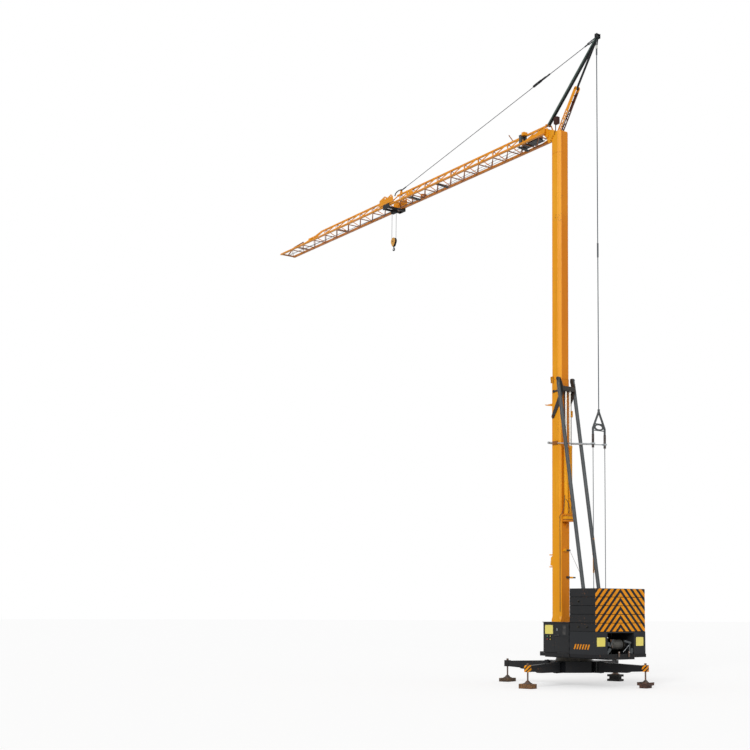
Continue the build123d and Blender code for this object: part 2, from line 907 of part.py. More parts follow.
def erecting_yoke():
    """Cross beam behind the mast, levers to the mast pins, and cheeks with the strut heads' pins."""
    half = lower_mast_side / 2
    cheek_outer = strut_y - strut_r - side_gap
    lever_inner = half + lever_gap
    lever_outer = lever_inner + lever_thickness
    rear = yoke_x - yoke_depth / 2
    front = yoke_x + yoke_depth / 2
    low = yoke_z - yoke_height / 2
    high = yoke_z + yoke_height / 2
    pieces = [block(rear, front, -cheek_outer, cheek_outer, low, high)]

    head_x, head_z = strut_head
    cheek_outline = [
        (rear + 10, high - 1),
        (front, high - 1),
        (head_x + 70, head_z - 60),
        (head_x + 50, head_z + 60),
        (head_x - 50, head_z + 60),
    ]
    eye_inner = strut_y - strut_eye_half - side_gap
    eye_outer = strut_y + strut_eye_half + side_gap
    pieces += both_sides(plate_y(cheek_outline, cheek_outer - cheek, cheek_outer))
    pieces += both_sides(rod_y(head_x, head_z, cheek_outer - 1, eye_inner, 1.6 * strut_pin_r))
    pieces += both_sides(rod_y(head_x, head_z, eye_inner - 1, eye_outer + cheek, strut_pin_r))
    pieces += both_sides(rod_y(head_x, head_z, eye_outer, eye_outer + cheek, 1.7 * strut_pin_r))

    pin_x, pin_z = lever_pin
    lever = plate_y(
        [
            (rear, low + 1),
            (front, low + 1),
            (pin_x + 0.8 * lever_eye_r, pin_z + 0.6 * lever_eye_r),
            (pin_x - 0.8 * lever_eye_r, pin_z - 0.6 * lever_eye_r),
            (yoke_x + 20, low - 330),
        ],
        lever_inner, lever_outer,
    )
    lever += rod_y(pin_x, pin_z, lever_inner, lever_outer, lever_eye_r)
    arm_x, arm_z = side_arm_end
    lever += block(yoke_x, arm_x, lever_inner, lever_outer, arm_z - 30, arm_z + 30)
    lever += rod_y(arm_x, arm_z, lever_inner, lever_outer, 55)
    lever -= rod_y(pin_x, pin_z, lever_inner - 1, lever_outer + 1, lever_pin_r + pin_clearance)
    pieces += both_sides(lever)
    return pieces


def cylinder_barrels():
    """Both hydraulic cylinder barrels with their glands, tied by a clamp band."""
    pieces = []
    for y in (-cylinder_y, cylinder_y):
        pieces.append(rod_z(cylinder_x, y, barrel_bottom, barrel_top, barrel_r))
        pieces.append(rod_z(cylinder_x, y, barrel_top - 90, barrel_top, barrel_r + 8))
    for low in (barrel_bottom + 120, barrel_top - 320):
        pieces.append(
            block(cylinder_x - 40, cylinder_x + 40, -cylinder_y, cylinder_y, low, low + 60)
        )
    return pieces


def cylinder_rod(side):
    """Chrome piston rod up to the yoke."""
    return rod_z(cylinder_x, side * cylinder_y, barrel_top, yoke_z - yoke_height / 2, rod_r)


def stay_guide():
    """Fork of two bars round the mast that steadies the lower stay ropes."""
    front_x, front_z = guide_front
    clamp_half = 1.25 * socket_r
    bars = []
    for side in (-1, 1):
        y = side * guide_y
        bars.append(bar((front_x, y, front_z), (stay_x + clamp_half, y, guide_rear_z), guide_bar))
        clamp = block(
            stay_x - clamp_half, stay_x + clamp_half + guide_bar,
            side * stay_y - clamp_half, side * stay_y + clamp_half,
            guide_rear_z - 30, guide_rear_z + 30,
        )
        bars.append(
            clamp - rod_z(stay_x, side * stay_y, guide_rear_z - 40, guide_rear_z + 40,
                          socket_r + seat_gap)
        )
    reach = guide_y + guide_roller_r
    bars.append(rod_y(front_x, front_z, -reach, reach, guide_roller_r))
    return bars


def equaliser():
    """A-shaped yoke that splits the rear stay into two ropes."""
    w = equaliser_bar
    pieces = [rod_z(stay_x, 0, equaliser_neck - w, equaliser_top, 0.8 * w)]
    for side in (-1, 1):
        y = side * stay_y
        pieces.append(bar((stay_x, 0, equaliser_neck), (stay_x, y, equaliser_foot), w))
        pieces.append(
            block(stay_x - w / 2, stay_x + w / 2, y - w / 2, y + w / 2, socket_top, equaliser_foot)
        )
    for z in equaliser_ties:
        share = min(1.0, (equaliser_neck - z) / (equaliser_neck - equaliser_foot))
        y = share * stay_y
        pieces.append(bar((stay_x, -y, z), (stay_x, y, z), 0.6 * w))
    return pieces


def lower_stay(side):
    """Lower stay rope with its socket, down to the anchor on the platform box."""
    y = side * stay_y
    anchor_top = box_top + 260
    socket = rod_z(stay_x, y, socket_bottom, socket_top, socket_r)
    rope = rod_z(stay_x, y, anchor_top - 1, socket_bottom + 1, lower_rope_r)
    anchor = rod_z(stay_x, y, box_top, anchor_top, anchor_r)
    return [socket, rope, anchor]


def strap(start, end, inner):
    """A pair of flat links side by side, with a hole for the apex pin at start."""
    pieces = []
    thickness = strap_thickness
    for side in (-1, 1):
        y = side * (inner + thickness / 2)
        link = bar((start[0], y, start[1]), (end[0], y, end[1]), thickness, strap_width)
        link += rod_y(start[0], start[1], y - thickness / 2, y + thickness / 2, strap_width * 0.75)
        link -= rod_y(start[0], start[1], y - thickness, y + thickness, apex_pin_r + pin_clearance)
        pieces.append(link)
    return pieces


def rear_stay():
    """Rear stay rope from two straps at the apex down to the equaliser."""
    strap_end, fitting_end, rope_start = stay_fitting
    pieces = strap(apex, (stay_x, strap_end), stay_strap)
    reach = stay_strap + strap_thickness
    pieces.append(
        block(stay_x - 30, stay_x + 30, -reach, reach, fitting_end, strap_end + 30)
    )
    pieces.append(rod_z(stay_x, 0, rope_start, fitting_end + 1, stay_joint_r))
    joint_top, joint_bottom = stay_joint
    pieces.append(rod_z(stay_x, 0, joint_bottom, joint_top, stay_joint_r))
    pieces.append(rod_z(stay_x, 0, equaliser_top, rope_start + 1, stay_rope_r))
    return pieces


def front_strut():
    """Twin bars with rungs, from the jib root to the apex."""
    x0, z0 = front_strut_foot
    x1, z1 = apex
    low = front_strut_half_gap - strut_bar / 2
    high = front_strut_half_gap + strut_bar / 2
    pieces = []
    for side in (-1, 1):
        y = side * front_strut_half_gap
        foot = (x0, y, z0)
        top = (x1, y, z1)
        y0 = y - strut_bar / 2
        y1 = y + strut_bar / 2
        shape = bar(foot, top, strut_bar)
        shape -= bar(between(foot, top, 0.03), between(foot, top, 0.95), strut_bar - 10)
        shape += rod_y(x0, z0, y0, y1, strut_end_r) + rod_y(x1, z1, y0, y1, strut_end_r)
        shape -= rod_y(x0, z0, y0 - 1, y1 + 1, root_tube_r + pin_clearance)
        shape -= rod_y(x1, z1, y0 - 1, y1 + 1, apex_pin_r + pin_clearance)
        free_y = pendant_strap + strap_thickness + side_gap
        shape -= rod_y(x1, z1, -free_y, free_y, apex_free_r)
        pieces.append(shape)
    reach = (low + high) / 2
    for i in range(front_rungs):
        share = 0.05 + 0.8 * i / (front_rungs - 1)
        x, z = between(front_strut_foot, apex, share)
        pieces.append(bar((x, -reach, z), (x, reach, z), 26))
    return pieces


def back_strut_lower():
    """Laced foot on the mast head, a flange, then two plates with rounded ends to the joint."""
    length = hypot(
        back_strut_joint[0] - back_strut_foot[0], back_strut_joint[1] - back_strut_foot[1]
    )
    across = (
        (back_strut_joint[1] - back_strut_foot[1]) / length,
        (back_strut_foot[0] - back_strut_joint[0]) / length,
    )

    def place(share, sideways, y):
        """A point on the strut, moved across it in its own plane."""
        x, z = between(back_strut_foot, back_strut_joint, share)
        return (x + sideways * across[0], y, z + sideways * across[1])

    step = back_strut_step
    edge = (back_width - back_leg) / 2
    pieces = []
    for side in (-1, 1):
        y = side * (back_plate_gap + back_plate / 2)
        x1, z1 = back_strut_joint
        plate = bar(place(step, 0, y), place(1, 0, y), back_plate, back_width)
        plate += rod_y(x1, z1, y - back_plate / 2, y + back_plate / 2, back_width / 2)
        plate -= rod_y(x1, z1, y - back_plate, y + back_plate, apex_pin_r + pin_clearance)
        pieces.append(plate)
        for sideways in (-edge, edge):
            pieces.append(bar(place(-0.1, sideways, y), place(step, sideways, y), back_leg))
        shares = [step * i / 4 for i in range(5)]
        for i, (low, high) in enumerate(zip(shares, shares[1:])):
            sign = 1 if i % 2 else -1
            pieces.append(bar(place(low, sign * edge, y), place(high, -sign * edge, y), back_lacing))
    reach = back_plate_gap + back_plate / 2
    for share in (0.12, 0.36, 0.7, 0.84):
        pieces.append(bar(place(share, 0, -reach), place(share, 0, reach), back_leg))
    for share in (0.12, 0.36):
        for side in (-1, 1):
            y = side * reach
            pieces.append(bar(place(share, -edge, y), place(share, edge, y), back_lacing))
    pieces.append(
        bar(
            place(step, 0, 0), place(step + 0.012, 0, 0),
            2 * (back_plate_gap + back_plate) + 16, back_width + 30,
        )
    )
    return pieces


def back_strut_upper():
    """Box bar from the joint pin to the apex."""
    (x0, z0), (x1, z1) = back_strut_joint, apex
    joint = (x0, 0, z0)
    top = (x1, 0, z1)
    half = apex_bar / 2
    boss = back_plate_gap - side_gap
    shape = bar(joint, top, apex_bar)
    shape -= bar(between(joint, top, 0.06), between(joint, top, 0.92), apex_bar - 12)
    shape += rod_y(x1, z1, -half, half, strut_end_r)
    for y0, y1 in ((-2 * half, -apex_eye_half), (apex_eye_half, 2 * half)):
        shape -= rod_y(x1, z1, y0, y1, apex_free_r)
    shape -= rod_y(x1, z1, -half - 1, half + 1, apex_pin_r + pin_clearance)
    shape += rod_y(x0, z0, -boss, boss, 45)
    shape += rod_y(x0, z0, -back_plate_gap - 40, back_plate_gap + 40, apex_pin_r)
    return shape


def trim_foot(shape, low):
    """Cut a shape off flat at a height."""
    box = shape.bounding_box()
    return shape - block(
        box.min.X - 1, box.max.X + 1, box.min.Y - 1, box.max.Y + 1, box.min.Z - 1, low
    )


def apex_block():
    """Cross pin with end plates, where both struts, the pendant and the rear stay meet."""
    x, z = apex
    inner = front_strut_half_gap + strut_bar / 2 + side_gap
    plate = block(x - 70, x + 70, inner, inner + 14, z - 60, z + 120)
    bridge = block(x - 60, x + 60, -inner - 1, inner + 1, z + 85, z + 110)
    return [*both_sides(plate), rod_y(x, z, -inner - 30, inner + 30, apex_pin_r), bridge]


def jib_pendant():
    """Pendant rope from two straps at the apex to the lug on the top of the jib."""
    top = (apex[0], 0, apex[1])
    end = (pendant_end[0], 0, pendant_end[1])
    length = hypot(end[0] - top[0], end[2] - top[2])
    strap_share = 560.0 / length
    start = between(top, end, strap_share)
    pieces = strap(apex, (start[0], start[2]), pendant_strap)
    reach = pendant_strap + strap_thickness
    pieces.append(bar(between(top, end, 0.92 * strap_share), start, 2 * reach, strap_width))
    r = pendant_fitting_r
    pieces.append(round_bar(start, between(top, end, strap_share + 180 / length), r))
    pieces.append(round_bar(between(top, end, 0.208), between(top, end, 0.234), r))
    pieces.append(round_bar(between(top, end, 1 - 400 / length), between(top, end, 1 - 65 / length), r))
    pieces.append(round_bar(start, between(top, end, 1 - 20 / length), pendant_r))
    half = pendant_r + 3
    pieces.append(rod_y(end[0], end[2], -half, half, 40))
    hole = rod_y(end[0], end[2], -half - 1, half + 1, pendant_pin_r + pin_clearance)
    return fused(pieces) - hole


def pendant_lug():
    """Two plates with a pin on the inner top chord, for the pendant's lower end."""
    x, z = pendant_end
    low = jib_floor + top_height(x) + top_chord / 2
    outline = [(x - 90, low - 1), (x + 90, low - 1), (x + 30, z + 30), (x - 30, z + 30)]
    inner = pendant_r + 4
    plates = both_sides(plate_y(outline, inner, inner + 10))
    return [*plates, rod_y(x, z, -inner - 18, inner + 18, pendant_pin_r)]


def chord_tube(start, end, size):
    """A hollow square chord."""
    return bar(start, end, size, size, wall=chord_wall)


def top_height(x):
    """Height of the top chord's middle above the bottom chords' middle."""
    points = [
        (jib_root, jib_root_height),
        (jib_fold - inner_top_gap, jib_fold_height),
        (jib_fold + outer_top_gap, outer_height),
        (outer_slope_start, outer_height),
        (outer_slope_end, outer_low_height),
        (outer_end, outer_low_height),
    ]
    for (x0, h0), (x1, h1) in zip(points, points[1:]):
        if x <= x1:
            return h0 + (h1 - h0) * max(0.0, (x - x0) / (x1 - x0))
    return points[-1][1]


def bottom_chord(side, x0, x1):
    """A bottom chord with its outer ledge, on which the trolley runs."""
    y = side * jib_half_width
    tube = chord_tube((x0, y, jib_floor), (x1, y, jib_floor), chord)
    inner = jib_half_width + chord / 2 - 1
    outer = jib_half_width + chord / 2 + ledge_width
    low = jib_floor - chord / 2
    ledge = block(
        x0, x1, min(side * inner, side * outer), max(side * inner, side * outer),
        low, low + ledge_thickness,
    )
    return tube + ledge


def panel_points(x0, x1, bays):
    """Panel points along a jib section."""
    return [x0 + (x1 - x0) * i / bays for i in range(bays + 1)]


def jib_side(side, x0, x1, first, bays):
    """A flat side of the jib: a bottom chord with zigzag lacing up to the top chord's side."""
    y = side * jib_half_width
    face = top_chord / 2
    reach = 0.06  # how far the bars run past the top chord's side before they are cut
    pieces = [bottom_chord(side, x0, x1)]
    xs = panel_points(first, x1 - fold_half, bays)
    for left, right in zip(xs, xs[1:]):
        middle = (left + right) / 2
        top = (middle, side * face, jib_floor + top_height(middle))
        for x in (left, right):
            foot = (x, y, jib_floor)
            pieces.append(bar(foot, between(foot, top, 1 + reach), lacing))
    cut = face - 0.5 if side > 0 else face
    outer = jib_half_width + chord
    inside = block(
        x0, x1, min(side * cut, side * outer), max(side * cut, side * outer),
        jib_floor - chord / 2, jib_floor + 3 * jib_root_height,
    )
    whole = fused(pieces) & inside
    bore = bar((x0 - 1, y, jib_floor), (x1 + 1, y, jib_floor), chord - 2 * chord_wall)
    return whole - bore


def jib_floor_lacing(x0, x1, bays, plates):
    """The flat bottom of the jib: cross bars, single diagonals and a few cross plates."""
    reach = jib_half_width - chord / 2
    low = jib_floor - chord / 2
    z = low + lacing / 2 + 2
    xs = panel_points(x0 + fold_half, x1 - fold_half, bays)
    pieces = [bar((x, -reach, z), (x, reach, z), lacing) for x in xs]
    for left, right in zip(xs, xs[1:]):
        pieces.append(bar((left, reach, z), (right, -reach, z), lacing * 0.8))
    for x in plates:
        pieces.append(
            block(
                x - floor_plate / 2, x + floor_plate / 2, -reach, reach,
                low, low + floor_plate_thickness,
            )
        )
    return fused(pieces) & block(x0, x1, -reach, reach, low, jib_floor + chord)


def jib_winch():
    """Small winch on the inner section's floor that pulls the trolley: drum, motor and side plate."""
    low = jib_floor - chord / 2 + lacing
    x = jib_winch_x
    bed = block(x - 620, x + 560, -190, 190, low, low + 14)
    drum = rod_y(x, low + 130, -130, 130, 95)
    cheeks = both_sides(block(x - 130, x + 130, 130, 142, low + 13, low + 190))
    motor = block(x - 560, x - 220, -120, 120, low + 13, low + 210)
    screen = block(x + 390, x + 404, 20, 120, low + 13, low + 300)
    return [bed, drum, *cheeks, motor, screen]


def top_chord_line(points):
    """The hollow top chord along its kinked line."""
    pieces = []
    for (x0, h0), (x1, h1) in zip(points, points[1:]):
        start = (x0, 0, jib_floor + h0)
        end = (x1, 0, jib_floor + h1)
        pieces.append(chord_tube(start, end, top_chord))
    return fused(pieces)


def tip_frame():
    """Low ridge over the jib's end with a post, and the roller across the tip."""
    post_x = outer_end + 0.26 * tip_length
    ridge_x = outer_end + 0.68 * tip_length
    roller_x = jib_tip - fold_half
    low = jib_floor - chord / 2
    reach = jib_half_width - chord / 2
    size = 40.0
    top = jib_floor + tip_height
    z = low + lacing / 2 + 2
    return [
        bar((post_x, -reach, z), (post_x, reach, z), lacing),
        bar((post_x, 0, z), (post_x, 0, top), size),
        bar((post_x, 0, top - size / 2), (ridge_x, 0, top - 80), size),
        bar((ridge_x, 0, top - 80), (roller_x, 0, jib_floor), size),
        rod_y(roller_x, jib_floor, -reach, reach, size),
    ]


def chord_plates(points, holes):
    """A plate on each bottom chord's top face, outside the lacing, with round holes."""
    y0 = chord_plate_y
    y1 = chord_plate_y + chord_plate
    plate = plate_y(points, y0, y1)
    for x, z, radius in holes:
        plate -= rod_y(x, z, y0 - 1, y1 + 1, radius)
    return both_sides(plate)


def jib_sections():
    """Both jib sections, each as two sides and a floor; the left sides carry the top chord."""
    inner_end = jib_fold - fold_half
    outer_start = jib_fold + fold_half
    first = front_strut_foot[0] + 60
    last = jib_fold - inner_top_gap
    inner_line = [(first, top_height(first)), (last, top_height(last))]
    outer_line = [
        (x, top_height(x))
        for x in (jib_fold + outer_top_gap, outer_slope_start, outer_slope_end, outer_end)
    ]
    high = jib_floor + chord / 2
    plate_x = jib_fold - 1760
    left_plate, right_plate = chord_plates(
        [
            (plate_x - 560, high),
            (plate_x, high),
            (plate_x - 10, high + 250),
            (plate_x - 400, high + 155),
        ],
        [(plate_x - 170, high + 110, 45)],
    )
    for side, name, plate in ((1, "left", left_plate), (-1, "right", right_plate)):
        inner = jib_side(side, jib_root, inner_end, jib_root + root_bay, inner_bays) + plate
        outer = jib_side(
            side, outer_start, outer_end + fold_half, outer_start + fold_half, outer_bays
        )
        outer += bottom_chord(side, outer_end + fold_half, jib_tip)
        if side > 0:
            inner = fused([inner, top_chord_line(inner_line), *pendant_lug()])
            outer += top_chord_line(outer_line)
        save(f"jib_inner_{name}_side", inner)
        save(f"jib_outer_{name}_side", outer)
    floor = jib_floor_lacing(jib_root + root_bay, inner_end, inner_bays, inner_floor_plates)
    save("jib_inner_floor", [floor, *jib_winch()])
    plates = [jib_fold + x for x in outer_floor_plates]
    floor = jib_floor_lacing(outer_start, jib_tip, outer_bays + 2, plates)
    save("jib_outer_floor", [floor, *tip_frame()])


def jib_root_frame():
    """Lugs round the jib's root pin, plates that taper along the chords, and the strut's seat."""
    x, z = front_strut_foot
    inner = upper_mast_side / 2 + gusset + side_gap
    outer = jib_half_width - chord / 2
    low = jib_floor - chord / 2
    high = jib_floor + chord / 2
    lug_end = jib_root + root_bay - 50
    outline = [
        (root_pin_x - 80, root_pin_z),
        (root_pin_x - 40, root_pin_z - 80),
        (root_pin_x + 60, root_pin_z - 80),
        (root_pin_x + 210, low),
        (lug_end, low),
        (lug_end, high),
        (lug_end - 40, high + taper_height),
        (root_pin_x, high + taper_height),
        (root_pin_x - 80, high),
    ]
    lug = plate_y(outline, inner, outer)
    lug -= rod_y(root_pin_x, root_pin_z, inner - 1, outer + 1, root_pin_r + pin_clearance)
    pieces = both_sides(lug)
    pieces += chord_plates(
        [
            (jib_root, high),
            (jib_root + taper_length, high),
            (lug_end, high + taper_height * 0.9),
            (jib_root, high + taper_height),
        ],
        [],
    )
    tube_half = front_strut_half_gap + strut_bar / 2 + 2 * lacing
    leg_y = (inner + outer) / 2
    leg = bar((lug_end - 90, leg_y, high + taper_height - 40), (x, tube_half - lacing / 2, z), lacing)
    pieces += both_sides(leg)
    pieces.append(rod_y(x, z, -tube_half, tube_half, root_tube_r))
    pieces.append(block(x + root_tube_r - 4, x + 59.9, -30, 30, z - 30, z + 30))
    pieces += both_sides(
        block(jib_root, lug_end, outer - 1, chord_plate_y + 1, high, high + ledge_thickness)
    )
    return pieces


def fold_joint():
    """Hinge blocks and peaked plates that join the two jib sections, tied by a cross tube."""
    start = jib_fold - fold_half
    end = jib_fold + fold_half
    inner = jib_half_width - chord / 2
    outer = jib_half_width + chord / 2
    low = jib_floor - chord / 2
    high = low + chord
    hinge = block(start, end, inner, outer, low, high)
    hinge += block(start, end, outer - 1, outer + ledge_width, low, low + ledge_thickness)
    pieces = both_sides(hinge)
    pieces += chord_plates(
        [
            (jib_fold - 655, high),
            (jib_fold + 555, high),
            (jib_fold + 550, high + 340),
            (jib_fold + 100, high + 460),
            (jib_fold - 145, high + 330),
            (jib_fold - 440, high + 425),
            (jib_fold - 580, high + 300),
        ],
        [(jib_fold - 430, high + 330, 40), (jib_fold + 70, high + 350, 45)],
    )
    plate_in = chord_plate_y + 1
    pieces.append(rod_y(jib_fold - 40, high + 250, -plate_in, plate_in, 28))
    return pieces


def trolley():
    """Trolley frame outside and under the bottom chords, with four wheels and rope sheaves."""
    ledge_y = jib_half_width + chord / 2
    low = jib_floor - chord / 2
    axle_z = low + ledge_thickness + wheel_gap + wheel_r
    wheel_y = ledge_y + 6
    plate_in = ledge_y + ledge_width + 8
    half = trolley_length / 2
    under = low - 12
    side = block(
        trolley_x - half, trolley_x + half, plate_in, plate_in + trolley_plate,
        under - 140, axle_z + 30,
    )
    pieces = both_sides(side)
    axle_x = half - 70
    for x in (trolley_x - axle_x, trolley_x + axle_x):
        wheel = rod_y(x, axle_z, wheel_y, wheel_y + wheel_width, wheel_r)
        axle = rod_y(x, axle_z, wheel_y, plate_in + trolley_plate + 10, 16)
        pieces += both_sides(wheel + axle)
        pieces.append(
            block(x - 40, x + 40, -plate_in - 4, plate_in + 4, under - 130, under - 40)
        )
    for y in (-55, 55):
        pieces.append(
            block(trolley_x - axle_x, trolley_x + axle_x, y - 12, y + 12, fall_top - 60, under - 60)
        )
    sheave_x = fall_spacing / 2 - fall_r - seat_gap - trolley_sheave_r
    for x in (trolley_x - sheave_x, trolley_x + sheave_x):
        pieces.append(rod_y(x, fall_top, -25, 25, trolley_sheave_r))
        pieces.append(rod_y(x, fall_top, -60, 60, 18))
    return pieces


def rope_fall(side):
    """One fall of hoist rope from the trolley to the hook block's sheave."""
    return rod_z(trolley_x + side * fall_spacing / 2, 0, hook_mid, fall_top, fall_r)


def hook_block():
    """Two drop-shaped cheek plates round a sheave, closed below by the swivel head."""
    sheave = rod_y(trolley_x, hook_mid, -22, 22, fall_spacing / 2 - fall_r - seat_gap)
    inner = 30.0
    outer = 55.0
    neck = 60.0
    shoulder = 0.97 * hook_cheek_r
    outline = [
        (trolley_x - shoulder, hook_mid - 45),
        (trolley_x - neck, hook_block_bottom),
        (trolley_x + neck, hook_block_bottom),
        (trolley_x + shoulder, hook_mid - 45),
    ]
    cheek_plate = plate_y(outline, inner, outer)
    cheek_plate += rod_y(trolley_x, hook_mid, inner, outer, hook_cheek_r)
    pieces = [sheave, *both_sides(cheek_plate), rod_y(trolley_x, hook_mid, -outer, outer, 25)]
    pieces.append(
        block(trolley_x - neck, trolley_x + neck, -outer, outer,
              hook_block_bottom, hook_block_bottom + neck)
    )
    bore = rod_z(
        trolley_x, 0, hook_block_bottom - 1, hook_block_bottom + neck + 1, hook_shank + 0.5
    )
    return fused(pieces) - bore


def hook():
    """Swivel hook: shank with its collar below the head, and a forged bowl open on one side."""
    centre_z = hook_block_bottom - 150
    half = hook_thickness / 2
    bowl = rod_y(trolley_x, centre_z, -half, half, hook_r)
    bowl -= rod_y(trolley_x + 6, centre_z + 8, -half - 1, half + 1, hook_bowl_r)
    mouth = plate_y(
        [
            (trolley_x + 6, centre_z + 4),
            (trolley_x + 2 * hook_r, centre_z + 4),
            (trolley_x + 2 * hook_r, centre_z + 2 * hook_r),
            (trolley_x + 30, centre_z + 2 * hook_r),
        ],
        -half - 1, half + 1,
    )
    bowl -= mouth
    neck = block(
        trolley_x - 1.2 * hook_shank, trolley_x + 0.9 * hook_shank, -half, half,
        centre_z + 0.55 * hook_r, hook_block_bottom - 30,
    )
    collar = rod_z(trolley_x, 0, hook_block_bottom - 35, hook_block_bottom - 1, hook_shank + 16)
    shank = rod_z(trolley_x, 0, hook_block_bottom - 36, hook_block_bottom + 55, hook_shank)
    return [bowl, neck, collar, shank]


for name, turn in CORNERS.items():
    place = Rot(0, 0, base_turn + turn)
    layers = PADS[name]
    save(f"arm_{name}", place * outrigger_arm())
    save(f"jack_{name}", place * jack(pad_height(layers) + seat_gap))
    save(f"pad_{name}", place * fused(timber_pad(layers)))

save("chassis", chassis())
save("slew_ring_lower", ring(chassis_top, ring_split, ring_outer_r))
save("slew_ring_upper", ring(ring_split + ring_gap, frame_bottom, ring_outer_r - 20))
save("platform_deck", [*platform_deck(), *mast_foot_bracket(), *winch_frame()])
save("platform_box", [platform_box(), *strut_brackets()])
for number in range(ballast_count):
    save(f"ballast_block_{number + 1}", ballast_block(number))
save("winch_drum", winch_drum())
save("cabinet", cabinet_shell())
for name, heights in zip(("lower", "upper"), door_heights()):
    save(f"cabinet_{name}_door", cabinet_door(*heights, name == "upper"))

save("lower_mast", lower_mast())
save("upper_mast", upper_mast())
save("mast_head", mast_head())
for side, name in ((1, "left"), (-1, "right")):
    save(f"strut_{name}", strut(side))
    save(f"cylinder_rod_{name}", cylinder_rod(side))
    save(f"stay_rope_{name}", lower_stay(side))
save("cylinder_barrels", cylinder_barrels())
save("erecting_yoke", erecting_yoke())
save("stay_guide", stay_guide())
save("equaliser", equaliser())
save("rear_stay", rear_stay())

save("back_strut_lower", trim_foot(fused(back_strut_lower()), head_level))
save("back_strut_upper", back_strut_upper())
save("front_strut", front_strut())
save("apex_block", apex_block())
save("jib_pendant", jib_pendant())

jib_sections()
save("jib_root_frame", jib_root_frame())
save("fold_joint", fold_joint())
save("trolley", trolley())
save("rope_fall_front", rope_fall(1))
save("rope_fall_rear", rope_fall(-1))
save("hook_block", hook_block())
save("hook", hook())
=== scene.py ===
# %% [markdown]
# A self-erecting tower crane, dressed for a studio picture.
# The steelwork comes as a fixed frame of finished solids, each in its real place, and this lesson never
# moves or reshapes them. What it adds is what a painter, a fitter and a rigger would add: paint with
# its hazard stripes, plates, buttons, bolts, boards under the feet, hoses and wire rope.
# All lengths are metres, +X runs along the jib and +Z is up.

from math import cos, hypot, pi, radians, sin

import bmesh
import bpy
from mathutils import Matrix, Vector


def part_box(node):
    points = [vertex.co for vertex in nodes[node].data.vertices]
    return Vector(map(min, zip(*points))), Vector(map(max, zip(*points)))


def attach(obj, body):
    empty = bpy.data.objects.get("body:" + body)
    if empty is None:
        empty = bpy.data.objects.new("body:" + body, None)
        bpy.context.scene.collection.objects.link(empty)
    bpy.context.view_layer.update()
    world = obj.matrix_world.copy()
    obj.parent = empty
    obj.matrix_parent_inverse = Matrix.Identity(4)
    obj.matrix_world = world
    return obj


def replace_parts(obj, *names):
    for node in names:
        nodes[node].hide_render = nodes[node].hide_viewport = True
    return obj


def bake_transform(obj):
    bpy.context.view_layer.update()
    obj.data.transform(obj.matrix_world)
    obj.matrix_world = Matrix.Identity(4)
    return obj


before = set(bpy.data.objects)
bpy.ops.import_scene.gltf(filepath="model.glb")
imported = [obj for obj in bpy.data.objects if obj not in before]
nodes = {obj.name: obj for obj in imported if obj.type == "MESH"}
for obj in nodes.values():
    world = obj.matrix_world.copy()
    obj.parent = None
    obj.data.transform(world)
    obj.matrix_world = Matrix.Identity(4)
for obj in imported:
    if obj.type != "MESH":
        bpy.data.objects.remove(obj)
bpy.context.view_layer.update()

# %% [markdown]
# The camera stands about 48 m away behind the crane's left side, three metres above the ground, and looks
# slightly up. A long lens keeps the mast's edges nearly parallel. The crane stands right of the middle
# of the picture, so the lens is shifted by an eighth of the frame instead of being turned towards it, as
# an architect's camera would be: turning it would make the mast lean.

# %% Camera
CAMERA_PLACE = Vector((-35.856, 31.828, 2.921))
CAMERA_HEADING = radians(-36.957)  # from +X, positive towards +Y
CAMERA_PITCH = radians(6.132)
CAMERA_ROLL = radians(0.289)
LENS_MM = 59.876
LENS_SHIFT = 0.13

forward = Vector((
    cos(CAMERA_PITCH) * cos(CAMERA_HEADING),
    cos(CAMERA_PITCH) * sin(CAMERA_HEADING),
    sin(CAMERA_PITCH),
))
level_right = forward.cross(Vector((0, 0, 1))).normalized()
level_up = level_right.cross(forward)
right = level_right * cos(CAMERA_ROLL) + level_up * sin(CAMERA_ROLL)
up = right.cross(forward)
bpy.ops.object.select_all(action="DESELECT")
bpy.ops.object.camera_add(location=CAMERA_PLACE)
camera = bpy.context.object
turned = Matrix((right, up, -forward)).transposed()
camera.rotation_euler = turned.to_euler()
camera.data.lens = LENS_MM
camera.data.sensor_width = 36.0
camera.data.shift_x = -LENS_SHIFT
camera.data.shift_y = LENS_SHIFT
camera.data.clip_end = 500.0
bpy.context.scene.camera = camera
print("camera stands", round(Vector((CAMERA_PLACE.x, CAMERA_PLACE.y, 0)).length, 1), "m from the mast")

# %% [markdown]
# Every finish below is a small node graph. Two helpers keep them short: one turns the hex colour of a
# paint chart into the linear values that a shader counts in, the other adds one node with its settings
# and its inputs, where an input is either a value or the socket that feeds it.

# %% Colours and nodes
def linear(hex_colour):
    """The linear colour, with alpha, of an sRGB hex value."""
    channels = [int(hex_colour[i:i + 2], 16) / 255 for i in (1, 3, 5)]
    curve = [c / 12.92 if c <= 0.04045 else ((c + 0.055) / 1.055) ** 2.4 for c in channels]
    return (*curve, 1.0)


def add(tree, kind, inputs=None, **settings):
    """One node, with its settings, and each input a value or a socket to link."""
    made = tree.nodes.new(kind)
    for name, value in settings.items():
        setattr(made, name, value)
    for key, value in (inputs or {}).items():
        socket = made.inputs[key]
        if isinstance(value, bpy.types.NodeSocket):
            tree.links.new(value, socket)
        else:
            socket.default_value = value
    return made


def maths(tree, operation, first, second=0.0, third=0.0):
    """The result of one sum on sockets or numbers."""
    return add(tree, "ShaderNodeMath", {0: first, 1: second, 2: third}, operation=operation).outputs[0]


def mixed(tree, share, first, second):
    """A colour between two, by a share from 0 to 1."""
    inputs = {"Factor": share, "A": first, "B": second}
    return add(tree, "ShaderNodeMix", inputs, data_type="RGBA").outputs["Result"]


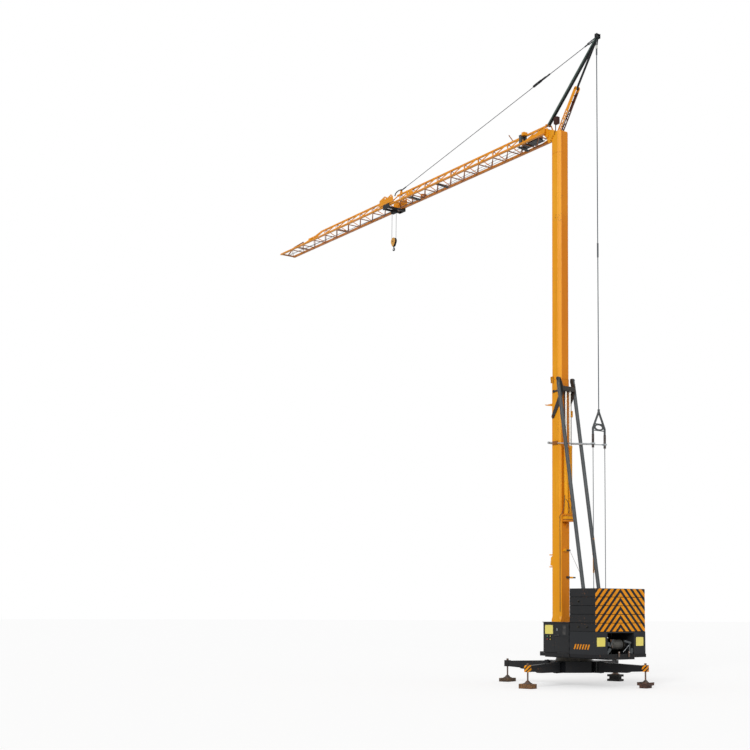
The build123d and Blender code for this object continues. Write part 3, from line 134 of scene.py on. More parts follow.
def stretched(tree, scale, turn=(0.0, 0.0, 0.0)):
    """The place on the piece, in metres, turned and stretched."""
    spot = add(tree, "ShaderNodeTexCoord").outputs["Object"]
    return add(tree, "ShaderNodeMapping", {"Vector": spot, "Rotation": turn, "Scale": scale}).outputs[0]


def noise(tree, per_metre, detail, stretch=(1.0, 1.0, 1.0)):
    """Soft noise with so many features a metre."""
    settings = {"Vector": stretched(tree, stretch), "Scale": per_metre, "Detail": detail}
    return add(tree, "ShaderNodeTexNoise", settings).outputs["Fac"]


def band(tree, value, low, high):
    """0 below low and 1 above high, with a smooth step between."""
    inputs = {"Value": value, "From Min": low, "From Max": high}
    return add(tree, "ShaderNodeMapRange", inputs, interpolation_type="SMOOTHSTEP").outputs[0]


def new_material(name):
    """An empty material with its shader linked to the output."""
    material = bpy.data.materials.new(name)
    material.use_nodes = True
    tree = material.node_tree
    tree.nodes.clear()
    shader = add(tree, "ShaderNodeBsdfPrincipled")
    add(tree, "ShaderNodeOutputMaterial", {"Surface": shader.outputs[0]})
    return material, tree, shader


def finish_with(tree, shader, colour, roughness, height, depth, strength):
    """Feed a shader its colour, its roughness and its bump."""
    bump = add(tree, "ShaderNodeBump", {"Height": height, "Distance": depth, "Strength": strength})
    tree.links.new(colour, shader.inputs["Base Color"])
    tree.links.new(roughness, shader.inputs["Roughness"])
    tree.links.new(bump.outputs[0], shader.inputs["Normal"])


print("a mid orange in linear light:", [round(c, 3) for c in linear("#E0921F")])

# %% [markdown]
# Site machines are sprayed with a thick alkyd enamel. Under the gun it flows to a faint orange peel, and
# it dries to a satin gloss. Outdoors the sun chalks it unevenly, rain draws grey streaks down the
# plates and stones chip it through to rusty steel. So the paint is four layers: the enamel, its faded
# patches, the dirt that runs down, and the chips, and only the chips and the dirt are dull.

# %% Enamel on steel plate
STREAK = (7.0, 7.0, 0.3)  # streaks are a few centimetres wide and metres long
PATCHES, RUNS, PLATE_WAVES, CHIPPED_AREAS = 0.45, 1.6, 1.8, 1.1  # features a metre, all large
CHIPS, ORANGE_PEEL = 26.0, 160.0  # and the small ones
CHIPPED_COLOUR = "#6B4A35"


def enamel_layers(tree, base, faded, dirt, chip_share, dirt_share):
    """Colour, roughness and height of sprayed site paint over steel."""
    patches = band(tree, noise(tree, PATCHES, 4.0), 0.35, 0.7)
    colour = mixed(tree, patches, base, faded)
    runs = band(tree, noise(tree, RUNS, 5.0, STREAK), 0.52, 0.8)
    soft_runs = maths(tree, "MULTIPLY", runs, dirt_share)
    colour = mixed(tree, soft_runs, colour, dirt)
    spots = noise(tree, CHIPS, 6.0)
    where = noise(tree, CHIPPED_AREAS, 3.0)
    wear = maths(tree, "ADD", maths(tree, "MULTIPLY", spots, 0.7), maths(tree, "MULTIPLY", where, 0.3))
    chips = band(tree, wear, 0.66 - chip_share, 0.69 - chip_share)
    colour = mixed(tree, chips, colour, linear(CHIPPED_COLOUR))
    peel = noise(tree, ORANGE_PEEL, 2.0)
    waves = noise(tree, PLATE_WAVES, 1.0)
    dull = maths(tree, "MULTIPLY", maths(tree, "MAXIMUM", soft_runs, chips), 0.3)
    roughness = maths(tree, "ADD", maths(tree, "MULTIPLY", patches, 0.1), maths(tree, "ADD", dull, 0.36))
    height = maths(tree, "ADD", maths(tree, "MULTIPLY", peel, 0.06), waves)
    height = maths(tree, "SUBTRACT", height, maths(tree, "MULTIPLY", chips, 0.04))
    return colour, roughness, height


def glossy(tree, shader, layers):
    """The satin gloss of enamel that has been outdoors, over its layers."""
    shader.inputs["Specular IOR Level"].default_value = 0.15
    shader.inputs["Coat Weight"].default_value = 0.03
    shader.inputs["Coat Roughness"].default_value = 0.25
    finish_with(tree, shader, *layers, depth=0.004, strength=0.35)


def enamel(name, base, faded, dirt, chip_share, dirt_share):
    """A plain painted steel."""
    material, tree, shader = new_material(name)
    colours = linear(base), linear(faded), linear(dirt)
    glossy(tree, shader, enamel_layers(tree, *colours, chip_share, dirt_share))
    return material


orange_enamel = enamel("orange_alkyd_enamel", "#EB9A0A", "#F0A51E", "#A8601A", 0.02, 0.4)
jib_enamel = enamel("orange_enamel_on_lattice", "#EA9408", "#EE9E1C", "#7A4414", 0.04, 0.6)
# A darker copy of the jib's orange: painted shade for the jib's right sides, which face away from the light.
shaded_side_enamel = enamel("orange_enamel_darkened_as_painted_shade", "#C6741A", "#D48424", "#4A2812", 0.06, 0.8)
# Darker still: painted shade for the floor under the jib, over its dirt; the jib's spike and a clamp on the
# mast wear it too.
painted_shade_enamel = enamel("orange_enamel_under_jib_with_dirt_and_painted_shade", "#96581E", "#A86A2C", "#2A1C16", 0.07, 0.85)
tan_enamel = enamel("faded_tan_enamel", "#CF9440", "#DAA350", "#7A4A1C", 0.03, 0.5)
grey_enamel = enamel("slate_grey_enamel", "#4A4E50", "#575A5B", "#33312E", 0.02, 0.5)
yoke_enamel = enamel("dark_umber_grey_enamel", "#34322F", "#3E3A36", "#221E1B", 0.04, 0.6)
graphite_enamel = enamel("graphite_enamel", "#1D1E20", "#242527", "#2A2724", 0.01, 0.5)
# Near-black: dark paint, darkened further as painted shade, for the deck, the chassis and the winch bay's
# bulkhead under the platform.
near_black_enamel_with_painted_shade = enamel("blue_black_chassis_enamel_darkened_as_painted_shade", "#121316", "#191A1D", "#26211C", 0.03, 0.6)
red_oxide = enamel("red_oxide_primer", "#4A1F16", "#58281C", "#2E1A14", 0.03, 0.5)
yellow_plate = enamel("yellow_plate_enamel", "#E9D96A", "#EFE28A", "#B8A45A", -0.02, 0.25)
print("eleven enamels made")

# %% [markdown]
# Hazard stripes are masked off with tape and sprayed over the dark coat, so they have crisp edges and
# the same gloss, and they wear where the paint under them wears. A stripe is only a sum: the height plus
# the distance out from the middle grows by one pitch from one stripe to the next. Where that sum's
# remainder is above the dark share, the stripe is orange.

# %% Hazard stripes
STRIPE_ORANGE = "#E8900A"


def stripes(tree, along_value, pitch, dark_share, start=0.0):
    """1 on the bright stripes of a row, 0 on the dark ones."""
    steps = maths(tree, "DIVIDE", maths(tree, "SUBTRACT", along_value, start), pitch)
    remainder = maths(tree, "FLOORED_MODULO", steps, 1.0)
    return maths(tree, "GREATER_THAN", remainder, dark_share)


def inside(tree, value, low, high):
    """1 where a value lies between two bounds."""
    over = maths(tree, "GREATER_THAN", value, low)
    return maths(tree, "MULTIPLY", over, maths(tree, "LESS_THAN", value, high))


def coordinates(tree):
    """X, Y and Z of the place on the piece."""
    spot = add(tree, "ShaderNodeTexCoord").outputs["Object"]
    return add(tree, "ShaderNodeSeparateXYZ", {0: spot}).outputs


def two_tone(
    name, mask_of, base, faded, dirt, second=STRIPE_ORANGE, second_faded="#EE9C1C", dirt_share=0.35
):
    """Enamel in one colour, with a second colour where the given mask says."""
    material, tree, shader = new_material(name)
    bright = mask_of(tree)
    ground = mixed(tree, bright, linear(base), linear(second))
    lighter = mixed(tree, bright, linear(faded), linear(second_faded))
    glossy(tree, shader, enamel_layers(tree, ground, lighter, linear(dirt), 0.02, dirt_share))
    return material


ballast_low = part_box("ballast_block_1")[0]
CHEVRON_SLOPE = 1.065
CHEVRON_PITCH = 0.318
CHEVRON_DARK = 0.47
CHEVRON_START = ballast_low.z + 0.142


def chevrons(tree):
    """Chevrons pointing up on the rear face of the ballast."""
    x, y, z = coordinates(tree)
    rise = maths(tree, "MULTIPLY_ADD", maths(tree, "ABSOLUTE", y), CHEVRON_SLOPE, z)
    rows = stripes(tree, rise, CHEVRON_PITCH, CHEVRON_DARK, CHEVRON_START)
    return maths(tree, "MULTIPLY", rows, maths(tree, "LESS_THAN", x, ballast_low.x + 0.002))


chevron_paint = two_tone("chevrons_on_ballast", chevrons, "#1A1B1D", "#212224", "#2A2724")
print("chevrons start at", round(CHEVRON_START, 3), "m")

# %% [markdown]
# The box under the ballast has a short row of slanted bars on each side. The ends of the outrigger arms
# are striped all round, so that they are seen in time. Both are the same sum, cut off by a window in two
# directions.

# %% Bars on the box and stripes on the arms
BAR_WINDOW_X = (-2.281, -1.405)
BAR_WINDOW_Z = (1.40, 1.58)
BAR_COUNT = 6
BAR_LEAN = 0.45  # metres aside for each metre up
BAR_DARK = 0.5
ARM_STRIPE_PITCH = 0.15
ARM_STRIPE_DARK = 0.42
ARM_STRIPE_LEAN = 0.7
SLEEVE_HALF = 0.093
jack_low, jack_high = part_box("jack_rear_left")
ARM_REACH = hypot(*((jack_low + jack_high) / 2).xy)


def side_bars(tree):
    """A row of slanted bars on both sides of the platform box."""
    x, y, z = coordinates(tree)
    low, high = BAR_WINDOW_Z
    height = maths(tree, "SUBTRACT", z, low)
    leaning = maths(tree, "MULTIPLY_ADD", height, BAR_LEAN, x)
    start = BAR_WINDOW_X[0] + (high - low) * BAR_LEAN
    end = BAR_WINDOW_X[1]
    pitch = (end - start) / (BAR_COUNT - BAR_DARK)
    rows = stripes(tree, leaning, pitch, BAR_DARK, start - BAR_DARK * pitch)
    window = maths(
        tree, "MULTIPLY", inside(tree, leaning, start, end), inside(tree, z, low, high)
    )
    outside = maths(tree, "GREATER_THAN", maths(tree, "ABSOLUTE", y), abs(ballast_low.y) - 0.002)
    return maths(tree, "MULTIPLY", rows, maths(tree, "MULTIPLY", window, outside))


def arm_tip_stripes(tree):
    """Stripes round the outer end of an arm, over its sleeve."""
    x, y, z = coordinates(tree)
    squares = [maths(tree, "POWER", value, 2.0) for value in (x, y)]
    out = maths(tree, "SQRT", maths(tree, "ADD", *squares))
    lean = maths(tree, "MULTIPLY", maths(tree, "ADD", x, y), ARM_STRIPE_LEAN)
    rows = stripes(tree, maths(tree, "ADD", z, lean), ARM_STRIPE_PITCH, ARM_STRIPE_DARK)
    sleeve = maths(tree, "GREATER_THAN", out, ARM_REACH - SLEEVE_HALF - 0.004)
    return maths(tree, "MULTIPLY", rows, sleeve)


box_paint = two_tone("bars_on_platform_box", side_bars, "#212326", "#292B2E", "#302D29")
arm_paint = two_tone("striped_arm_ends", arm_tip_stripes, "#141518", "#1D1E21", "#2A251F")
plain_arm_paint = enamel("dusty_arm_enamel", "#1D1E21", "#292A2C", "#342E26", 0.04, 0.7)
print("arms reach", round(ARM_REACH, 2), "m")

# %% [markdown]
# Some pieces wear two colours. The mast's rear face is painted redder and darker than its sides, which is
# painted shade, and a dark strip of painted shade fills the rear face behind the cylinders. The pin ends
# outside the lower mast's lugs are dark, one leg of a strut is painted dark as painted shade, the front
# strut's left half is painted pale as painted light, and a motor is bolted to the painted head. A zone is a
# box in the crane's own metres, and a second colour fills it. On most pieces it is laid over the finished
# paint, so that roughness and relief run on underneath.

# %% Colours in zones
FAR = 1000.0  # past all of the crane
MAST_REAR = 0.455
ON_REAR = (-FAR, MAST_REAR + 0.002)
LUG_FACE = 0.2935
BACK_STRUT_HEAD = 23.22


def zone(x=None, y=None, z=None):
    """A mask that is 1 inside a box and 0 outside it; a direction without bounds doesn't count."""
    def mask(tree):
        share = 1.0
        for value, bounds in zip(coordinates(tree), (x, y, z)):
            if bounds:
                share = maths(tree, "MULTIPLY", share, inside(tree, value, *bounds))
        return share
    return mask


def either(*masks):
    """A mask that is 1 where any of several is."""
    def mask(tree):
        share = 0.0
        for part in masks:
            share = maths(tree, "MAXIMUM", share, part(tree))
        return share
    return mask


def stacked(name, lower, upper_mask, top_colour):
    """A copy of a painted finish with one more colour where a mask says."""
    material = lower.copy()
    material.name = name
    tree = material.node_tree
    shader = next(node for node in tree.nodes if node.type == "BSDF_PRINCIPLED")
    under = shader.inputs["Base Color"].links[0].from_socket
    over = mixed(tree, upper_mask(tree), under, linear(top_colour))
    tree.links.new(over, shader.inputs["Base Color"])
    return material


# The rear face's redder, darker orange is painted shade; the groove and the weld are dark joints.
mast_paint = two_tone(
    "orange_enamel_on_mast",
    either(zone(x=ON_REAR), zone(x=(0.532, 0.540)), zone(z=(20.942, 20.960))),  # face, groove, weld
    "#EB9A0A", "#F0A51E", "#A8601A", "#D47A08", "#DC8616", 0.4,
)
# Painted shade: a dark brown strip on the rear face between the cylinders. The pin ends outside the lugs are
# dark.
dark_pin_ends_and_painted_shade = either(
    zone(y=(LUG_FACE, FAR)), zone(y=(-FAR, -LUG_FACE)), zone(ON_REAR, (-0.075, 0.075), (6.5, 11.4))
)
lower_mast_paint = stacked("orange_enamel_with_dark_pin_ends_and_painted_shade", mast_paint, dark_pin_ends_and_painted_shade, "#5A2C12")
head_paint = stacked("orange_enamel_with_motor", mast_paint, zone(z=(22.0, FAR)), "#38160E")
# The jib floor's painted shade, with the trolley winch dark on it.
winch_paint = stacked(
    "painted_shade_enamel_with_dark_winch", painted_shade_enamel, zone((1.84, 3.06), (-0.2, 0.2), (21.903, FAR)), "#16110E"
)
# Painted shade: the strut's leg on the side away from the light is dark brown.
back_strut_paint = stacked(
    "orange_enamel_with_painted_shade_on_one_leg", jib_enamel, zone(y=(-FAR, 0.02), z=(-FAR, BACK_STRUT_HEAD)), "#54260F"
)
hook_block_paint = stacked("tan_enamel_on_hook_block", tan_enamel, zone(y=(-0.0535, 0.0535)), "#121316")
fold_paint = stacked("orange_enamel_with_greasy_joint", jib_enamel, zone(z=(-FAR, 21.98)), "#2E1A10")
# Painted light: the strut's left half, towards the light, is pale grey over the graphite.
front_strut_paint = stacked(
    "graphite_enamel_with_painted_light_on_left_half", graphite_enamel, zone(y=(0.02, FAR)), "#5A6A64"
)
print("eight finishes with a second colour")

# %% [markdown]
# Bare metal on a crane is of four kinds. Ring and drum run in black grease. Wire rope is galvanised and
# turns a dull blue-grey, with its strands laid round it in a helix. Piston rods are hard chrome, ground
# bright, and their near-white colour is a painted reflection of a white room. Pins and sockets are forged
# steel with a brown film of rust.

# %% Bare metals
def metal(name, colour, other, roughness, per_metre=40.0, metallic=1.0, strength=0.4):
    """Bare metal with a mottled film and a little tool grain."""
    material, tree, shader = new_material(name)
    film = band(tree, noise(tree, 7.0, 5.0), 0.35, 0.7)
    shade = mixed(tree, film, linear(colour), linear(other))
    grain = noise(tree, per_metre, 4.0)
    rough = maths(tree, "MULTIPLY_ADD", film, 0.15, roughness)
    shader.inputs["Metallic"].default_value = metallic
    finish_with(tree, shader, shade, rough, grain, depth=0.001, strength=strength)
    return material


greased_steel = metal("greased_steel", "#2B2A28", "#4A463F", 0.38)
# Near-white with little metal: a painted reflection of a white room on the piston rods.
chrome_with_painted_reflection = metal("hard_chrome_with_painted_white_reflection", "#F0EDE4", "#F4F1E8", 0.35, 20.0, 0.1, 0.0)
forged_steel = metal("forged_steel_with_rust_film", "#57504A", "#6E5140", 0.5, 60.0, 0.7)
zinc = metal("dull_zinc_plating", "#9BA0A3", "#B4B7B8", 0.45, 90.0, 0.85)
hook_steel = metal("forged_hook_steel", "#4C5254", "#3A3D3E", 0.42, 60.0, 0.8)

ROPE_LAY = 0.11  # one turn of a strand, drawn about as long as a real lay so that it shows


def wire_rope(name, colour, dark, direction=(0.0, 0.0, 1.0), fittings=(), axis="Z"):
    """Galvanised rope whose strands run round it, with smooth dark fittings over some lengths of it."""
    material, tree, shader = new_material(name)
    turn = Vector(direction).rotation_difference(Vector((0, 0, 1))).to_euler()
    vector = stretched(tree, (1.0, 1.0, 1.0), tuple(turn))
    x, y, z = add(tree, "ShaderNodeSeparateXYZ", {0: vector}).outputs
    round_it = maths(tree, "MULTIPLY", maths(tree, "ADD", x, y), 1.6)
    steps = maths(tree, "DIVIDE", maths(tree, "ADD", z, round_it), ROPE_LAY / 6)
    wave = maths(tree, "SINE", maths(tree, "MULTIPLY", steps, 2 * pi))
    groove = band(tree, wave, -0.9, 0.2)
    grime = band(tree, noise(tree, 1.4, 4.0), 0.4, 0.7)
    shade = mixed(tree, groove, linear(dark), linear(colour))
    shade = mixed(tree, maths(tree, "MULTIPLY", grime, 0.35), shade, linear(dark))
    place = coordinates(tree)["XYZ".index(axis)]
    for low, high, finish in fittings:
        here = inside(tree, place, low, high)
        shade = mixed(tree, here, shade, linear(finish))
        wave = maths(tree, "MULTIPLY", wave, maths(tree, "SUBTRACT", 1.0, here))
    rough = maths(tree, "MULTIPLY_ADD", grime, 0.15, 0.42)
    shader.inputs["Metallic"].default_value = 0.1
    finish_with(tree, shader, shade, rough, wave, depth=0.0015, strength=0.7)
    return material


SOCKET_BROWN = "#2E241F"
stay_rope = wire_rope(
    "galvanised_stay_rope", "#20303A", "#0F171C",
    fittings=[(8.86, 9.41, SOCKET_BROWN), (2.0, 2.31, "#26292B")],
)
rear_rope = wire_rope(
    "galvanised_rear_stay_rope", "#1C3440", "#0F1B22",
    fittings=[
        (16.2, 16.85, "#2A3238"), (24.3, 24.57, "#2A3238"),
        (24.57, 24.72, "#C9CBC4"), (24.72, 25.2, "#2E3336"),
    ],
)
fall_rope = wire_rope("galvanised_hoist_rope", "#1B2E38", "#101C22")
drum_rope = metal("greased_rope_on_drum", "#4A4A48", "#5C5A55", 0.5, 60.0, 0.5)
jib_rope = wire_rope("galvanised_trolley_rope", "#2A4350", "#1A2A33", (1.0, 0.0, 0.0))
pendant_low, pendant_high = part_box("jib_pendant")
pendant_line = (pendant_high.x - pendant_low.x, 0.0, pendant_low.z - pendant_high.z)
CONNECTOR = "#15191F"
pendant_rope = wire_rope(
    "galvanised_pendant_rope", "#0A1526", "#060A12", pendant_line,
    [(-1.6, -0.9, "#2A2E32"), (1.30, 1.70, CONNECTOR), (11.76, 12.3, CONNECTOR)], "X",
)
print("rope lay", ROPE_LAY, "m")

# %% [markdown]
# The feet stand on sawn boards and on old steel-banded blocks. Sawn softwood weathers brown, with the
# grain standing out along the board and dark end cracks, so its noise is stretched along the board's
# length. Each foot's boards lie across its arm, so the grain is turned with the arm.

# %% Timber and rubber
BASE_TURN = radians(-29.0)
CORNER_TURNS = {"front_left": 45.0, "rear_left": 135.0, "rear_right": 225.0, "front_right": 315.0}


def timber(name, colour, dark, turn):
    """Sawn board with its grain along the turned Y axis."""
    material, tree, shader = new_material(name)
    across = stretched(tree, (22.0, 1.6, 22.0), (0.0, 0.0, -turn))
    grain = add(tree, "ShaderNodeTexNoise", {"Vector": across, "Scale": 1.0, "Detail": 6.0})
    lines = band(tree, grain.outputs["Fac"], 0.38, 0.62)
    stain = band(tree, noise(tree, 3.0, 4.0), 0.4, 0.75)
    shade = mixed(tree, lines, linear(dark), linear(colour))
    shade = mixed(tree, maths(tree, "MULTIPLY", stain, 0.5), shade, linear(dark))
    rough = maths(tree, "MULTIPLY_ADD", lines, 0.1, 0.75)
    finish_with(tree, shader, shade, rough, lines, depth=0.003, strength=0.6)
    return material


# The front right foot's near-black boards are painted shade, for the shadow under the platform.
PAD_COLOURS = {
    "front_left": ("#6A5138", "#33261B"), "rear_left": ("#8A6238", "#4C3220"),
    "rear_right": ("#5A3A2A", "#2E1E18"), "front_right": ("#1F1C1A", "#0E0D0C"),
}
timbers = {
    corner: timber(f"sawn_timber_{corner}", *PAD_COLOURS[corner], BASE_TURN + radians(turn))
    for corner, turn in CORNER_TURNS.items()
}


def smooth_stuff(name, colour, roughness):
    """Moulded rubber or plastic: one colour, a little uneven in gloss and in height."""
    material, tree, shader = new_material(name)
    dust = band(tree, noise(tree, 9.0, 4.0), 0.45, 0.8)
    shade = mixed(tree, maths(tree, "MULTIPLY", dust, 0.25), linear(colour), linear("#8A8278"))
    rough = maths(tree, "MULTIPLY_ADD", dust, 0.2, roughness)
    finish_with(tree, shader, shade, rough, noise(tree, 120.0, 2.0), depth=0.0006, strength=0.3)
    return material


black_rubber = smooth_stuff("black_hose_rubber", "#17181A", 0.6)
black_plastic = smooth_stuff("black_abs_plastic", "#141516", 0.4)
dark_glass = smooth_stuff("dark_window_glass", "#050506", 0.35)
button_green = smooth_stuff("green_push_button_plastic", "#4E9B5A", 0.35)
button_red = smooth_stuff("red_push_button_plastic", "#B5382C", 0.35)
button_yellow = smooth_stuff("yellow_push_button_plastic", "#D9C04A", 0.35)
print(len(bpy.data.materials), "materials so far")

# %% [markdown]
# Each solid of the frame now gets its finish. The first word of a node's name is enough to choose most of
# them, so the list runs from the particular to the general, and the first that fits is used.

# %% Paint the frame
# The jib's right sides and its floor take darker copies of its orange, as painted shade.
PAINT = [
    ("ballast_block", chevron_paint), ("platform_box", box_paint), ("platform_deck", near_black_enamel_with_painted_shade),
    ("cabinet", graphite_enamel), ("chassis", near_black_enamel_with_painted_shade), ("slew_ring", greased_steel),
    ("arm_front", plain_arm_paint), ("arm_", arm_paint), ("jack_", forged_steel), ("pad_", graphite_enamel),
    ("winch_drum", greased_steel), ("lower_mast", lower_mast_paint), ("upper_mast", mast_paint),
    ("mast_head", head_paint), ("strut_", grey_enamel), ("erecting_yoke", yoke_enamel),
    ("cylinder_rod", chrome_with_painted_reflection), ("cylinder_barrels", orange_enamel), ("stay_guide", zinc),
    ("stay_rope", stay_rope), ("rear_stay", rear_rope), ("equaliser", grey_enamel),
    ("back_strut_lower", back_strut_paint), ("back_strut_upper", graphite_enamel),
    ("front_strut", front_strut_paint), ("apex_block", graphite_enamel), ("jib_pendant", pendant_rope),
    ("fold_joint", fold_paint), ("jib_inner_floor", winch_paint), ("jib_outer_floor", painted_shade_enamel),
    ("jib_inner_right_side", shaded_side_enamel), ("jib_outer_right_side", shaded_side_enamel),
    ("jib_", jib_enamel), ("trolley", graphite_enamel), ("rope_fall", fall_rope),
    ("hook_block", hook_block_paint), ("hook", hook_steel),
]
for name, node in nodes.items():
    finish = next(material for start, material in PAINT if name.startswith(start))
    node.data.materials.clear()
    node.data.materials.append(finish)
print(len(nodes), "solids painted")

# %% [markdown]
# The next helpers are the moves of hand modelling. A primitive is added at its place, its scale is put
# into its mesh at once, and edit mode does the rest. Whatever works on a selection first clears it,
# because an operator acts on all that is selected.

# %% Moves of hand modelling
def clear_selection():
    """Object mode with nothing selected."""
    if bpy.context.mode != "OBJECT":
        bpy.ops.object.mode_set(mode="OBJECT")
    bpy.ops.object.select_all(action="DESELECT")


def select_only(piece):
    """Object mode with one piece selected and active."""
    clear_selection()
    bpy.context.view_layer.objects.active = piece
    piece.select_set(True)


def settle(name, *materials):
    """Name the piece just added, put its place into its mesh and give it its finishes."""
    piece = bpy.context.object
    piece.name = name
    piece.data.name = name
    bpy.ops.object.transform_apply(location=True, rotation=True, scale=True)
    for material in materials:
        piece.data.materials.append(material)
    return piece


def choose(piece, test, kind="FACE"):
    """Edit mode on a piece, with only the faces or edges selected that pass a test."""
    select_only(piece)
    bpy.ops.object.mode_set(mode="EDIT")
    bpy.ops.mesh.select_mode(type=kind)
    bpy.ops.mesh.select_all(action="DESELECT")
    shape = bmesh.from_edit_mesh(piece.data)
    for item in shape.faces if kind == "FACE" else shape.edges:
        item.select_set(test(item))
    shape.select_flush_mode()
    bmesh.update_edit_mesh(piece.data)


def done():
    """Back to object mode."""
    bpy.ops.object.mode_set(mode="OBJECT")


def run_of(edge):
    """An edge as the line from its one end to the other."""
    return edge.verts[1].co - edge.verts[0].co


def soften(piece, width, test=lambda edge: True, segments=2):
    """Round the chosen edges of a piece."""
    choose(piece, test, "EDGE")
    bpy.ops.mesh.bevel(offset=width, segments=segments, affect="EDGES")
    done()
    return piece


def add_cube(name, centre, size, material, width, turn=(0, 0, 0)):
    """A cube pulled to a size, turned, with its edges rounded."""
    clear_selection()
    bpy.ops.mesh.primitive_cube_add(size=1, location=centre, rotation=turn)
    bpy.context.object.scale = size
    piece = settle(name, material)
    return soften(piece, width) if width else piece


def add_block(name, low, high, material, width=0.0):
    """A block between two corners."""
    low, high = Vector(low), Vector(high)
    return add_cube(name, (low + high) / 2, high - low, material, width)


def turned_to(direction):
    """The turn from straight up to a direction."""
    return Vector((0, 0, 1)).rotation_difference(Vector(direction))


def add_rod(name, start, end, radius, material, sides, rim=0.0):
    """A round bar from point to point, with its rims rounded."""
    clear_selection()
    start, end = Vector(start), Vector(end)
    line = end - start
    bpy.ops.mesh.primitive_cylinder_add(
        vertices=sides, radius=radius, depth=line.length, location=(start + end) / 2,
        rotation=turned_to(line).to_euler(),
    )
    piece = settle(name, material)
    if rim:
        direction = line.normalized()
        soften(piece, rim, lambda edge: abs(run_of(edge).dot(direction)) < 1e-5)
    return smooth(piece)


def add_disc(name, centre, radius, depth, sides, *materials, stretch=(1.0, 1.0, 1.0)):
    """A short cylinder that faces along Y; stretch pulls it to an oval."""
    clear_selection()
    bpy.ops.mesh.primitive_cylinder_add(
        vertices=sides, radius=radius, depth=depth, location=centre, rotation=(pi / 2, 0, 0)
    )
    bpy.context.object.scale = stretch
    return settle(name, *materials)


def smooth(piece):
    """Shade round stretches smooth and keep the corners."""
    select_only(piece)
    bpy.ops.object.shade_smooth_by_angle(angle=radians(35.0))
    return piece


def join(pieces, name):
    """One object from several."""
    clear_selection()
    for piece in pieces:
        piece.select_set(True)
    bpy.context.view_layer.objects.active = pieces[0]
    if len(pieces) > 1:
        bpy.ops.object.join()
    pieces[0].name = name
    pieces[0].data.name = name
    return pieces[0]


def repeat(master, places, name):
    """Copies of a modelled piece at each place, every one with its own mesh, joined."""
    twins = []
    for place in places:
        twin = master.copy()
        twin.data = master.data.copy()
        twin.data.transform(place)
        bpy.context.scene.collection.objects.link(twin)
        twins.append(twin)
    bpy.data.objects.remove(master)
    return join(twins, name)


def add_bolt(name, radius, height, material):
    """A hexagon head on its washer, pointing up, at the origin."""
    clear_selection()
    middle = (0, 0, height / 2)
    bpy.ops.mesh.primitive_cylinder_add(vertices=6, radius=radius, depth=height, location=middle)
    head = settle(name, material)
    choose(head, lambda face: face.normal.z > 0.9)
    bpy.ops.mesh.inset(thickness=radius * 0.18)
    bpy.ops.transform.translate(value=(0, 0, height * 0.12))
    done()
    washer = add_rod(name, (0, 0, 0), (0, 0, height * 0.2), radius * 1.35, material, 12)
    return join([head, washer], name)


def fit(piece, body="superstructure"):
    """Let a finished piece ride on a body."""
    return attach(piece, body)


print("modelling helpers ready")

# %% [markdown]
# Two yellow plates hang on the rear of the platform box, one each side of the winch bay, and a larger one
# on the cabinet. They are thin sheet with rounded corners, held by four rivets, and they are left plain.
# A cube is squeezed to the plate's size, its four corners through the thickness are rounded, and its
# front face is inset and pushed in slightly, so that it has the raised rim of a pressed plate.

# %% Yellow plates
PLATE_THICKNESS = 0.006
RIVET_RADIUS = 0.009
RIVET_INSET = 0.025
REAR_PLATES_Y = ((0.776, 1.175), (-1.136, -0.767))
REAR_PLATES_Z = (1.515, 1.835)
CABINET_FACE = 1.25
box_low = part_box("platform_box")[0]


def yellow_sign(name, low, high, facing):
    """A pressed plate with rivets, facing along an axis."""
    axis = max(range(3), key=lambda i: abs(facing[i]))
    low, high, facing = Vector(low), Vector(high), Vector(facing)
    plate = add_block(name, low, high, yellow_plate)
    soften(plate, 0.02, lambda edge: abs(run_of(edge)[axis]) > 0.9 * PLATE_THICKNESS, 3)
    choose(plate, lambda face: face.normal.dot(facing) > 0.9)
    bpy.ops.mesh.inset(thickness=0.012)
    bpy.ops.transform.translate(value=facing * -0.0015)
    done()
    across = 1 - axis
    rivets = []
    for aside in (low[across] + RIVET_INSET, high[across] - RIVET_INSET):
        for height in (low.z + RIVET_INSET, high.z - RIVET_INSET):
            spot = (low + high) / 2
            spot[across] = aside
            spot.z = height
            tip = spot + facing * (PLATE_THICKNESS / 2 + 0.003)
            rivets.append(add_rod(name, spot, tip, RIVET_RADIUS, zinc, 10, 0.002))
    return fit(join([plate, *rivets], name))


for number, (y0, y1) in enumerate(REAR_PLATES_Y, 1):
    low, high = (box_low.x - PLATE_THICKNESS, y0, REAR_PLATES_Z[0]), (box_low.x, y1, REAR_PLATES_Z[1])
    yellow_sign(f"rear_yellow_plate_{number}", low, high, (-1, 0, 0))
low, high = (-0.25, CABINET_FACE, 1.92), (0.199, CABINET_FACE + PLATE_THICKNESS, 2.25)
yellow_sign("cabinet_yellow_plate", low, high, (0, 1, 0))
print("three yellow plates")

# %% [markdown]
# Under the cabinet's plate sit four push buttons and a key switch. A push button is a short cap in a ring.
# Both are made by one cylinder: its front is inset for the ring, inset again and pulled out for the cap.

# %% Push buttons
BUTTONS = [
    ("green_start_button", 0.05, 1.835, button_green, 0.034),
    ("yellow_upper_button", -0.12, 1.835, button_yellow, 0.034),
    ("red_stop_button", 0.05, 1.722, button_red, 0.038),
    ("yellow_lower_button", -0.12, 1.722, button_yellow, 0.034),
]


